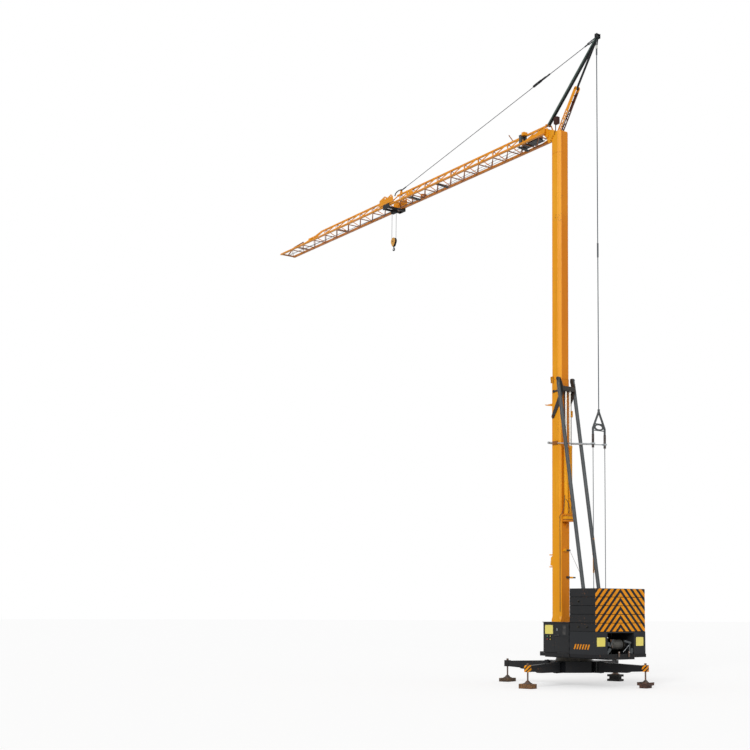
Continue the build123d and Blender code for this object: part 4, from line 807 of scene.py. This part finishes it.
def push_button(name, x, z, cap_material, radius):
    """A ring with a domed cap, facing +Y."""
    button = add_disc(name, (x, CABINET_FACE + 0.01, z), radius, 0.02, 24, black_plastic, cap_material)
    choose(button, lambda face: face.normal.y > 0.9)
    bpy.ops.mesh.inset(thickness=radius * 0.28)
    bpy.ops.transform.translate(value=(0, -0.006, 0))
    bpy.ops.mesh.inset(thickness=radius * 0.05)
    button.active_material_index = 1
    bpy.ops.object.material_slot_assign()
    bpy.ops.mesh.extrude_region_move(TRANSFORM_OT_translate={"value": (0, 0.012, 0)})
    bpy.ops.mesh.inset(thickness=radius * 0.12)
    bpy.ops.transform.translate(value=(0, 0.003, 0))
    done()
    return smooth(button)


for name, x, z, cap_material, radius in BUTTONS:
    fit(push_button(name, x, z, cap_material, radius))
fit(add_rod(
    "key_switch", (-0.284, CABINET_FACE - 0.002, 1.835), (-0.284, CABINET_FACE + 0.016, 1.835),
    0.018, black_plastic, 20, 0.003,
))
print(len(BUTTONS), "buttons and a switch")

# %% [markdown]
# The falls of hoist rope between the trolley and the hook stretch with the hook. A rope that changes
# length can't ride on one part, so each is left on none. It replaces the plain bar of the frame.

# %% Rope falls
for side in ("front", "rear"):
    low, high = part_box(f"rope_fall_{side}")
    middle = (low + high) / 2
    radius = (high.x - low.x) / 2
    rope = add_rod(
        f"hoist_rope_{side}_fall", (middle.x, middle.y, low.z), (middle.x, middle.y, high.z),
        radius, fall_rope, 12,
    )
    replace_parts(rope, f"rope_fall_{side}")
    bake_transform(rope)
print("falls", round(high.z - low.z, 2), "m long")

# %% [markdown]
# Each foot stands on timber. Three feet have old blocks in one to three layers, and the rear left foot has
# one layer of sawn boards. Each layer is a row of boards side by side with rounded arrises, laid across the
# arm. They are modelled along the arm's own axis and then turned with it, and they replace the plain
# blocks of the frame. The rear right foot's upper layer is a rusty tray, with a lip at both ends.

# %% Boards under the feet
BOARD_GAP = 0.006
PAD_LAYERS = {  # along the arm, across it, thickness, boards
    "front_left": [(0.430, 0.560, 0.140, 3)],
    "rear_left": [(0.350, 0.560, 0.170, 3)],
    "rear_right": [(0.310, 0.400, 0.100, 2), (0.500, 0.400, 0.075, 3)],
    "front_right": [(0.357, 0.570, 0.090, 2), (0.275, 0.420, 0.090, 2), (0.354, 0.560, 0.090, 3)],
}
LIP_WIDTH, LIP_TOP = 0.025, 0.215


def boards(name, low, layer, material):
    """A layer of boards side by side across the arm, every other one a little shorter."""
    along, across, thickness, count = layer
    made = []
    step = along / count
    for i in range(count):
        x0 = ARM_REACH - along / 2 + i * step
        end = across / 2 - BOARD_GAP * (i % 2)
        made.append(add_block(
            name, (x0 + BOARD_GAP / 2, -end, low + 0.001),
            (x0 + step - BOARD_GAP / 2, end, low + thickness), material, 0.006,
        ))
    return made


for corner, turn in CORNER_TURNS.items():
    name = f"timber_pad_{corner}"
    level = 0.0
    pieces = []
    for layer in PAD_LAYERS[corner]:
        pieces += boards(name, level, layer, timbers[corner])
        level += layer[2]
    if corner == "rear_right":
        along, across = PAD_LAYERS[corner][-1][:2]
        for side in (-1, 1):
            edge = ARM_REACH + side * along / 2
            inner = edge - side * LIP_WIDTH
            pieces.append(add_block(
                name, (min(edge, inner), -across / 2, level - 0.001),
                (max(edge, inner), across / 2, LIP_TOP), timbers[corner], 0.004,
            ))
    pad = join(pieces, name)
    pad.data.transform(Matrix.Rotation(BASE_TURN + radians(turn), 4, "Z"))
    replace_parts(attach(pad, "base"), f"pad_{corner}")
print("boards laid under", len(CORNER_TURNS), "feet")

# %% [markdown]
# The next helpers make what a fitter adds: a rectangular bar and a bent hose from point to point, and
# bolt heads turned to face any way. Each piece then says which body of the crane it rides on.

# %% Bars, hoses and bolts
def add_beam(name, start, end, size, material, width=0.0):
    """A rectangular bar from point to point; size is its width along X and its other width."""
    start, end = Vector(start), Vector(end)
    line = end - start
    size = (*size, line.length)
    return add_cube(name, (start + end) / 2, size, material, width, turned_to(line).to_euler())


def add_hose(name, points, radius, material):
    """A round hose bent smoothly through points: a curve with a bevel, turned into a mesh."""
    clear_selection()
    bpy.ops.curve.primitive_bezier_curve_add(location=(0, 0, 0))
    hose = bpy.context.object
    knots = hose.data.splines[0].bezier_points
    knots.add(len(points) - 2)
    for knot, point in zip(knots, points):
        knot.co = point
        knot.handle_left_type = knot.handle_right_type = "AUTO"
    hose.data.bevel_depth = radius
    hose.data.bevel_resolution = 3
    hose.data.resolution_u = 8
    hose.data.use_fill_caps = True
    bpy.ops.object.convert(target="MESH")
    return smooth(settle(name, material))


def facing(point, direction):
    """The move that takes a piece from the origin to a point and turns its top to a direction."""
    return Matrix.Translation(point) @ turned_to(direction).to_matrix().to_4x4()


print("fitter's helpers ready")

# %% [markdown]
# The open bay at the rear shows the hoist winch: rope on the drum in close layers, a gear case and a motor
# outside the two bearing plates, and in front of them the slanted guard plates, a pale rod and two rusty
# posts. A bulkhead closes the bay towards the mast, so that it is black inside. The layers of rope are one
# torus repeated along the drum, and they turn with it.

# %% Winch bay
DRUM_X, DRUM_Z = -2.2, 1.56
DRUM_R, ROPE_R = 0.170, 0.010
ROPE_TURNS, ROPE_SPREAD = 29, 0.57
FIN_COUNT, FIN_STEP = 9, 0.018
BAY_BACK = -1.35
GUARD_X = -2.505
GUARDS = [  # distance ahead of the others, start and end in Y and Z, two widths, finish, rounding
    ("left_guard", 0.0, (0.64, 1.235), (0.462, 1.43), (0.05, 0.10), grey_enamel, 0.006),
    ("right_guard", 0.0, (-0.565, 1.235), (-0.64, 1.42), (0.05, 0.11), grey_enamel, 0.006),
    ("lever_one", 0.0, (0.475, 1.50), (0.31, 1.76), (0.03, 0.045), grey_enamel, 0.005),
    ("lever_two", 0.035, (0.40, 1.76), (0.33, 1.46), (0.03, 0.05), forged_steel, 0.005),
    ("rope_guide", 0.0, (-0.24, 1.70), (-0.56, 1.62), (0.06, 0.07), grey_enamel, 0.008),
    ("guide_post", 0.0, (-0.50, 1.24), (-0.50, 1.60), (0.03, 0.045), grey_enamel, 0.004),
    ("guard_foot", 0.0, (0.56, 1.2215), (-0.56, 1.2215), (0.06, 0.004), grey_enamel, 0.0),
]
POST_X, POSTS_Y = -2.603, (0.14, -0.36)

clear_selection()
bpy.ops.mesh.primitive_torus_add(
    major_radius=DRUM_R + ROPE_R * 0.8, minor_radius=ROPE_R, major_segments=32, minor_segments=8,
    rotation=(pi / 2, 0, 0),
)
turn_of_rope = settle("rope_on_drum", drum_rope)
rope_places = [
    Matrix.Translation((DRUM_X, -ROPE_SPREAD / 2 + ROPE_SPREAD * i / (ROPE_TURNS - 1), DRUM_Z))
    for i in range(ROPE_TURNS)
]
fit(smooth(repeat(turn_of_rope, rope_places, "rope_on_drum")), "drum")

# The bulkhead's near-black enamel is painted shade.
fit(add_block(
    "bay_bulkhead", (BAY_BACK - 0.012, -0.652, 1.2215), (BAY_BACK, 0.652, 1.99), near_black_enamel_with_painted_shade, 0.003
))
gear_case = add_rod(
    "gear_case", (DRUM_X, -0.376, DRUM_Z), (DRUM_X, -0.50, DRUM_Z), 0.165, graphite_enamel, 32, 0.012
)
motor = add_rod(
    "hoist_motor", (DRUM_X, 0.376, DRUM_Z), (DRUM_X, 0.60, DRUM_Z), 0.105, graphite_enamel, 32, 0.010
)
fin = add_disc("cooling_fin", (DRUM_X, 0.40, DRUM_Z), 0.122, 0.006, 32, graphite_enamel)
fins = repeat(fin, [Matrix.Translation((0, FIN_STEP * i, 0)) for i in range(FIN_COUNT)], "cooling_fins")
fit(join([gear_case, motor, fins], "hoist_machinery"))

guards = [
    add_beam(name, (GUARD_X + ahead, *start), (GUARD_X + ahead, *end), size, finish, rounding)
    for name, ahead, start, end, size, finish, rounding in GUARDS
]
guards.append(add_rod(
    "valve_pot", (GUARD_X + 0.01, 0.55, 1.52), (GUARD_X + 0.01, 0.55, 1.66), 0.052, grey_enamel, 20, 0.01
))
fit(join(guards, "winch_guards"))
fit(add_rod(
    "pale_brake_rod", (GUARD_X - 0.03, -0.445, 1.548), (GUARD_X - 0.03, -0.152, 1.305), 0.009, zinc, 10, 0.002
))
posts = [
    add_block("rusty_post", (POST_X - 0.03, y - 0.034, 1.118), (POST_X, y + 0.034, 1.33), forged_steel, 0.005)
    for y in POSTS_Y
]
posts += [
    add_rod("post_pin", (POST_X - 0.036, y, 1.29), (POST_X - 0.002, y, 1.29), 0.018, zinc, 12, 0.003)
    for y in POSTS_Y
]
fit(join(posts, "rusty_posts"))
lamp = add_rod("tail_lamp", (-2.571, 0.665, 1.83), (-2.592, 0.665, 1.83), 0.022, zinc, 16, 0.005)
fit(lamp)
print(ROPE_TURNS, "turns of rope on the drum")

# %% [markdown]
# The cabinet's upper door has a dark pane in a rubber seal, an oval handle plate and a bent lever on its
# lower edge; each rides the door. Below the doors a black plate paints the shade in the plinth's inset gap.
# Short lifting pins stand out of the ballast's sides.

# %% Cabinet and ballast fittings
PANE_X, PANE_Z = (-0.984, -0.786), (1.901, 2.249)
PANE_Y, SEAL_Y, SEAL_WIDTH = 1.2452, 1.2515, 0.014
HANDLE_X = -0.489
LEVER_FRONT = 1.275
LEVER = [  # low corner, then high X and Z
    ((-0.40, 1.2505, 1.838), -0.345, 1.862),
    ((-0.50, 1.262, 1.846), -0.395, 1.872),
    ((-0.62, 1.262, 1.866), -0.495, 1.904),
]
BALLAST_SIDE = 1.25
LIFTING_PINS = [(-1.673, 3.126), (-1.656, 2.199), (-2.125, 2.200)]  # X and Z
PIN_PARTS = [(0.05, 0.024, 16, 0.004), (0.008, 0.048, 20, 0.002)]  # length, radius, sides, rim

(x0, x1), (z0, z1) = PANE_X, PANE_Z
pane = add_block("window_pane", (x0, PANE_Y, z0), (x1, PANE_Y + 0.002, z1), dark_glass)
inner_x0, inner_x1 = x0 + SEAL_WIDTH, x1 - SEAL_WIDTH
seal = [
    add_block("window_seal", (left, PANE_Y, foot), (end, SEAL_Y, top), black_rubber, 0.002)
    for left, end, foot, top in (
        (x0, inner_x0, z0, z1), (inner_x1, x1, z0, z1),
        (inner_x0, inner_x1, z0, z0 + SEAL_WIDTH), (inner_x0, inner_x1, z1 - SEAL_WIDTH, z1),
    )
]
fit(join([pane, *seal], "cabinet_window"), "upper_cabinet_door")

plate = add_disc("handle_plate", (HANDLE_X, 1.254, 2.09), 0.03, 0.008, 32, zinc, stretch=(1.0, 1.7, 1.0))
soften(plate, 0.002, lambda edge: abs(run_of(edge).y) < 1e-5)
grip = add_rod("handle_grip", (HANDLE_X, 1.256, 2.11), (HANDLE_X, 1.272, 2.11), 0.010, zinc, 12, 0.002)
bar = add_beam("handle_bar", (HANDLE_X, 1.274, 2.13), (HANDLE_X, 1.274, 2.05), (0.016, 0.008), zinc, 0.002)
fit(join([plate, grip, bar], "door_handle"), "upper_cabinet_door")
lever = [add_block("lever", low, (x, LEVER_FRONT, z), black_plastic, 0.004) for low, x, z in LEVER]
fit(join(lever, "door_lever"), "upper_cabinet_door")
# A black plate in the plinth's inset gap: painted shade.
fit(add_block("painted_shade_in_plinth_gap", (-0.99, 1.2152, 1.2215), (-0.44, 1.218, 1.2485), black_plastic))

pins = []
for side in (-1, 1):
    for x, z in LIFTING_PINS:
        for length, radius, sides, rim in PIN_PARTS:
            start, end = (x, side * BALLAST_SIDE, z), (x, side * (BALLAST_SIDE + length), z)
            pins.append(add_rod("lifting_pin", start, end, radius, greased_steel, sides, rim))
fit(join(pins, "lifting_pins"))
print(len(LIFTING_PINS), "lifting pins on each side")

# %% [markdown]
# On the mast come the small irons that the CAD leaves out: two cross bars on the rear face, with a thin
# cable from the upper one to the left strut, a rod down the right rear edge with its clamp, the bracket's
# middle, the gusset under the front spike, lips on the front channel, a hanging link, and the hoses of the
# two cylinders.

# %% Irons and hoses on the mast
IRONS = [  # low corner, high corner, rounding
    ("upper_cross_bar", (MAST_REAR - 0.06, 0.0, 5.05), (MAST_REAR, 0.12, 5.15), 0.008),
    ("lower_cross_bar", (MAST_REAR - 0.07, -0.33, 4.015), (MAST_REAR - 0.02, -0.18, 4.085), 0.008),
    ("bracket_middle", (0.203, -0.180, 6.283), (0.409, 0.180, 6.398), 0.008),
    ("channel_lip", (0.996, -0.16, 4.915), (1.23, 0.16, 4.955), 0.006),
    ("channel_lip", (0.996, -0.16, 4.45), (1.23, 0.16, 4.49), 0.006),
]
DARK_IRONS_AND_SHADE_PLATES = [  # low corner, high corner, finish, rounding
    ("cross_bar_end", (MAST_REAR - 0.05, -0.215, 5.07), (MAST_REAR - 0.005, 0.0, 5.13), yoke_enamel, 0.006),
    ("cross_bar_root", (MAST_REAR - 0.05, -0.18, 4.02), (MAST_REAR, -0.03, 4.10), yoke_enamel, 0.006),
    (
        "cross_bar_end", (MAST_REAR - 0.065, -0.46, 4.022), (MAST_REAR - 0.022, -0.33, 4.078),
        yoke_enamel, 0.006,
    ),
    # Black plates in the bracket's cut-outs: painted shade.
    ("painted_shade_in_bracket_slot", (0.2035, -0.17, 6.40), (0.40, 0.17, 6.414), black_rubber, 0.0),
    ("painted_shade_in_bracket_slot", (0.2035, -0.17, 6.266), (0.40, 0.17, 6.281), black_rubber, 0.0),
    ("guide_clamp", (0.56, 0.2705, 9.215), (0.86, 0.318, 9.345), painted_shade_enamel, 0.006),
]
HOSE_RADIUS = 0.010
HOSES = [
    [
        (0.262, 0.195, 7.21), (0.225, 0.250, 6.98), (0.225, 0.285, 6.70), (0.300, 0.315, 6.50),
        (0.430, 0.300, 6.42), (0.486, 0.258, 6.25), (0.486, 0.256, 5.60), (0.486, 0.256, 2.75),
    ],
    [(0.236, 0.170, 7.06), (0.188, 0.105, 6.94), (0.182, 0.055, 6.78), (0.186, 0.050, 6.50)],
    [(0.240, -0.030, 7.12), (0.186, -0.075, 6.92), (0.180, -0.060, 6.70), (0.186, -0.050, 6.50)],
]
LINK_X, LINK_Y = -0.71, -0.389

irons = [add_block(name, low, high, orange_enamel, rounding) for name, low, high, rounding in IRONS]
dark_irons_and_shade_plates = [add_block(*row) for row in DARK_IRONS_AND_SHADE_PLATES]
gusset = add_block("spike_gusset", (-0.31, -0.011, -0.075), (0.31, 0.011, 0.075), orange_enamel)
choose(gusset, lambda face: face.normal.x > 0.9)
bpy.ops.transform.resize(value=(1, 1, 0.16))
done()
soften(gusset, 0.004).data.transform(Matrix.Translation((1.306, 0, 10.872)) @ Matrix.Rotation(-0.09, 4, "Y"))
fit(join([*irons, gusset], "orange_irons"))
fit(join(dark_irons_and_shade_plates, "dark_irons_and_shade_plates"))

hoses = [add_hose("cylinder_hose", points, HOSE_RADIUS, black_rubber) for points in HOSES]
fit(join(hoses, "cylinder_hoses"))
ties = [
    add_rod("thin_cable", (MAST_REAR - 0.03, -0.205, 5.068), (-0.875, 0.335, 4.00), 0.006, forged_steel, 8),
    add_rod("edge_rod", (0.430, -0.300, 9.18), (0.430, -0.300, 11.30), 0.011, forged_steel, 10),
]
fit(join(ties, "thin_cables"))
clamp = add_block("rod_clamp", (0.395, -0.36, 10.30), (0.465, -0.272, 10.56), orange_enamel, 0.02)
fit(clamp)

link = [
    add_beam("hanging_link", (LINK_X, LINK_Y, low), (LINK_X, LINK_Y, high), size, orange_enamel, rounding)
    for low, high, size, rounding in ((4.93, 5.54, (0.05, 0.075), 0.01), (4.21, 4.91, (0.035, 0.055), 0.008))
]
link.append(add_rod(
    "hanging_link", (LINK_X, LINK_Y - 0.045, 4.92), (LINK_X, LINK_Y + 0.045, 4.92),
    0.03, orange_enamel, 16, 0.004,
))
fit(join(link, "hanging_link"))
print("mast irons fitted")

# %% [markdown]
# Bolts hold the plates at the mast's joint and at its head. One hexagon head is modelled at the origin,
# and every place is a point and the way it faces. The equaliser gets the forged ring that fills the gap
# between its two ties: a disc is inset, its middle is deleted, the ring is pulled to an oval, and the flat
# ring is given a thickness.

# %% Bolts and the equaliser's ring
JOINT_BOLTS_X = (0.825, 0.935)
JOINT_BOLTS = ((11.695, 0.292), (11.755, 0.292), (11.825, 0.302), (11.885, 0.302))  # height, face
HEAD_BOLTS = (  # X and Z
    (0.683, 21.819), (0.713, 21.735), (0.801, 21.677), (0.860, 21.610), (0.919, 21.527), (1.12, 21.97)
)
HEAD_FACE = 0.3
RING_HALF_WIDTH, RING_HALF_HEIGHT, RING_DEPTH = 0.268, 0.118, 0.034
RING_BAR = 0.36  # as a share of the radius

places = []
for side in (-1, 1):
    spots = [(x, face, z) for x in JOINT_BOLTS_X for z, face in JOINT_BOLTS]
    spots += [(x, HEAD_FACE, z) for x, z in HEAD_BOLTS]
    places += [facing((x, side * face, z), (0, side, 0)) for x, face, z in spots]
fit(repeat(add_bolt("mast_bolt", 0.018, 0.014, red_oxide), places, "mast_bolts"))

clear_selection()
bpy.ops.mesh.primitive_circle_add(
    vertices=32, radius=1.0, fill_type="NGON", location=(-1.465, 0, 9.665), rotation=(pi / 2, 0, pi / 2)
)
bpy.ops.object.mode_set(mode="EDIT")
bpy.ops.mesh.select_all(action="SELECT")
bpy.ops.mesh.inset(thickness=RING_BAR)
bpy.ops.mesh.delete(type="FACE")
done()
bpy.context.object.scale = (RING_HALF_WIDTH, RING_HALF_HEIGHT, 1.0)
ring = settle("equaliser_ring", grey_enamel)
thickness = ring.modifiers.new("thickness", "SOLIDIFY")
thickness.thickness = RING_DEPTH
thickness.offset = 0.0
select_only(ring)
bpy.ops.object.modifier_apply(modifier="thickness")
fit(smooth(ring))
print(len(places), "bolts on the mast")

# %% [markdown]
# On the jib come a dark web that stiffens the front strut, the turnbuckle of the pendant, three dark floor
# plates, the trolley winch's grey guard with its orange cap, the spike behind it, the rocker link
# at the pendant's foot and the pale ropes. A rope between the jib and the trolley grows and shrinks with
# the trolley's travel, so, as the falls are, it is left on no part.

# %% Jib fittings and ropes
guard = add_block("winch_guard", (2.81, 0.135, 21.955), (2.94, 0.325, 22.36), grey_enamel, 0.006)
cap = add_block("winch_guard_cap", (2.64, 0.10, 22.30), (2.80, 0.30, 22.44), jib_enamel, 0.01)
stand = add_block("winch_guard_stand", (2.66, 0.12, 21.922), (2.80, 0.18, 22.31), black_plastic, 0.004)
fit(join([guard, cap, stand], "trolley_winch_guard"))
spike = add_rod("jib_spike", (3.73, 0, 22.43), (4.0, 0, 22.76), 0.022, painted_shade_enamel, 10, 0.004)
fit(spike)
rocker = add_hose("rocker_link", [
    (12.12, 0.03, 22.585), (12.38, 0.03, 22.60), (12.62, 0.03, 22.53), (12.70, 0.03, 22.42),
], 0.026, grey_enamel)
fit(rocker)

strut_low, strut_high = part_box("front_strut")
foot = Vector((strut_high.x - 0.03, 0, strut_low.z + 0.06))
top = Vector((strut_low.x + 0.05, 0, strut_high.z - 0.10))
fit(add_beam("front_strut_web", foot, top, (0.012, 0.075), graphite_enamel))
rope_way = Vector((pendant_line[0], 0, pendant_line[2]))
rope_top = Vector((pendant_low.x, 0, pendant_high.z))


def on_pendant(x):
    """The pendant's point above a place on the jib."""
    return rope_top + rope_way * ((x - rope_top.x) / rope_way.x)


TURNBUCKLE = ((2.38, 1.86, 0.052), (1.88, 1.58, 0.040), (1.60, 1.33, 0.024))  # from X, to X, radius
turnbuckle = [
    add_rod("turnbuckle", on_pendant(start), on_pendant(end), radius, graphite_enamel, 20, radius * 0.45)
    for start, end, radius in TURNBUCKLE
]
fit(join(turnbuckle, "pendant_turnbuckle"))

# Near-black graphite on the plates in the jib floor: painted shade.
floor_plates_in_painted_shade = [
    add_beam("floor_plate_in_painted_shade", (x, 0.33, 21.862), (x + 0.12, -0.33, 21.862), (0.14, 0.012), graphite_enamel)
    for x in (2.95, 8.72, 10.92)
]
fit(join(floor_plates_in_painted_shade, "floor_plates_in_painted_shade"))

TROLLEY_REAR, TROLLEY_FRONT = 12.58, 12.98
ROPES = [
    ("hoist_rope_from_mast", (1.24, 0.10, 21.79), (TROLLEY_REAR, 0.035, 21.70)),
    ("trolley_rope_from_winch", (2.60, -0.06, 22.02), (TROLLEY_REAR, -0.085, 21.80)),
    ("trolley_rope_from_tip", (23.22, -0.10, 21.93), (TROLLEY_FRONT, -0.085, 21.80)),
    ("hoist_rope_from_tip", (23.10, 0.10, 21.86), (TROLLEY_FRONT, 0.035, 21.70)),
]
for name, start, end in ROPES:
    rope = add_rod(name, start, end, 0.009, jib_rope, 8)
    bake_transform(rope)
print(len(ROPES), "ropes along the jib")

# %% [markdown]
# The hook gets its spring latch, and the hook block a pin with a nut through both cheeks.

# %% Hook fittings
SHEAVE_X, SHEAVE_Z = 12.78, 20.222
latch = add_beam("hook_latch", (12.800, 0, 19.915), (12.846, 0, 19.852), (0.006, 0.026), zinc, 0.001)
fit(latch, "swivel_hook")
nuts = [
    add_rod(
        "sheave_pin", (SHEAVE_X, side * 0.0545, SHEAVE_Z), (SHEAVE_X, side * 0.072, SHEAVE_Z),
        0.034, forged_steel, 6, 0.003,
    )
    for side in (-1, 1)
]
fit(join(nuts, "sheave_pin_nuts"), "hook_pulley")
print("hook latch and pin fitted")

# %% [markdown]
# Soft light from the crane's left side shows the chevrons and the cabinet, and a dimmer fill keeps the
# rear from going black. The floor is plain and pale. To the camera it and the backdrop are white, but the
# light that they send to the crane is only that of a pale room, and the floor keeps the shadow.

# %% Floor, light and backdrop
SUN_STRENGTH = 1.9
FILL_STRENGTH = 0.3
ROOM_STRENGTH = 0.45
FLOOR_RADIUS = 220.0


def seen_directly(tree):
    """1 for rays from the camera, off a mirror or through glass, 0 for the light that reaches the crane."""
    rays = add(tree, "ShaderNodeLightPath").outputs
    passed_on = maths(tree, "MAXIMUM", rays["Is Glossy Ray"], rays["Is Transmission Ray"])
    return maths(tree, "MAXIMUM", rays["Is Camera Ray"], passed_on)


clear_selection()
bpy.ops.mesh.primitive_circle_add(vertices=96, radius=FLOOR_RADIUS, fill_type="NGON")
floor_piece = bpy.context.object
floor_piece.name = "studio_floor"
floor_paint = bpy.data.materials.new("pale_floor")
floor_paint.use_nodes = True
tree = floor_paint.node_tree
tree.nodes.clear()
matt = add(tree, "ShaderNodeBsdfDiffuse", {"Color": (0.62, 0.62, 0.62, 1.0)})
glow = maths(tree, "MULTIPLY", seen_directly(tree), 0.5)
lift = add(tree, "ShaderNodeEmission", {"Color": (1, 1, 1, 1), "Strength": glow})
both = add(tree, "ShaderNodeAddShader", {0: matt.outputs[0], 1: lift.outputs[0]})
add(tree, "ShaderNodeOutputMaterial", {"Surface": both.outputs[0]})
floor_piece.data.materials.append(floor_paint)


def add_sun(name, strength, towards, softness):
    """A wide, soft lamp that shines along a direction."""
    clear_selection()
    bpy.ops.object.light_add(type="SUN", location=(0, 0, 30))
    lamp = bpy.context.object
    lamp.name = name
    lamp.data.energy = strength
    lamp.data.angle = radians(softness)
    lamp.rotation_euler = Vector((0, 0, -1)).rotation_difference(Vector(towards)).to_euler()


add_sun("key_light", SUN_STRENGTH, (0.8, -1.0, -0.65), 30.0)
add_sun("fill_light", FILL_STRENGTH, (1.0, 0.35, -0.35), 60.0)

world = bpy.data.worlds.new("pale_room")
bpy.context.scene.world = world
world.use_nodes = True
tree = world.node_tree
tree.nodes.clear()
level = maths(tree, "MULTIPLY_ADD", seen_directly(tree), 1.0 - ROOM_STRENGTH, ROOM_STRENGTH)
room = add(tree, "ShaderNodeBackground", {"Color": (1, 1, 1, 1), "Strength": level})
add(tree, "ShaderNodeOutputWorld", {"Surface": room.outputs[0]})
bpy.context.scene.view_settings.view_transform = "Standard"
print("lamps", SUN_STRENGTH, FILL_STRENGTH, "room", ROOM_STRENGTH)
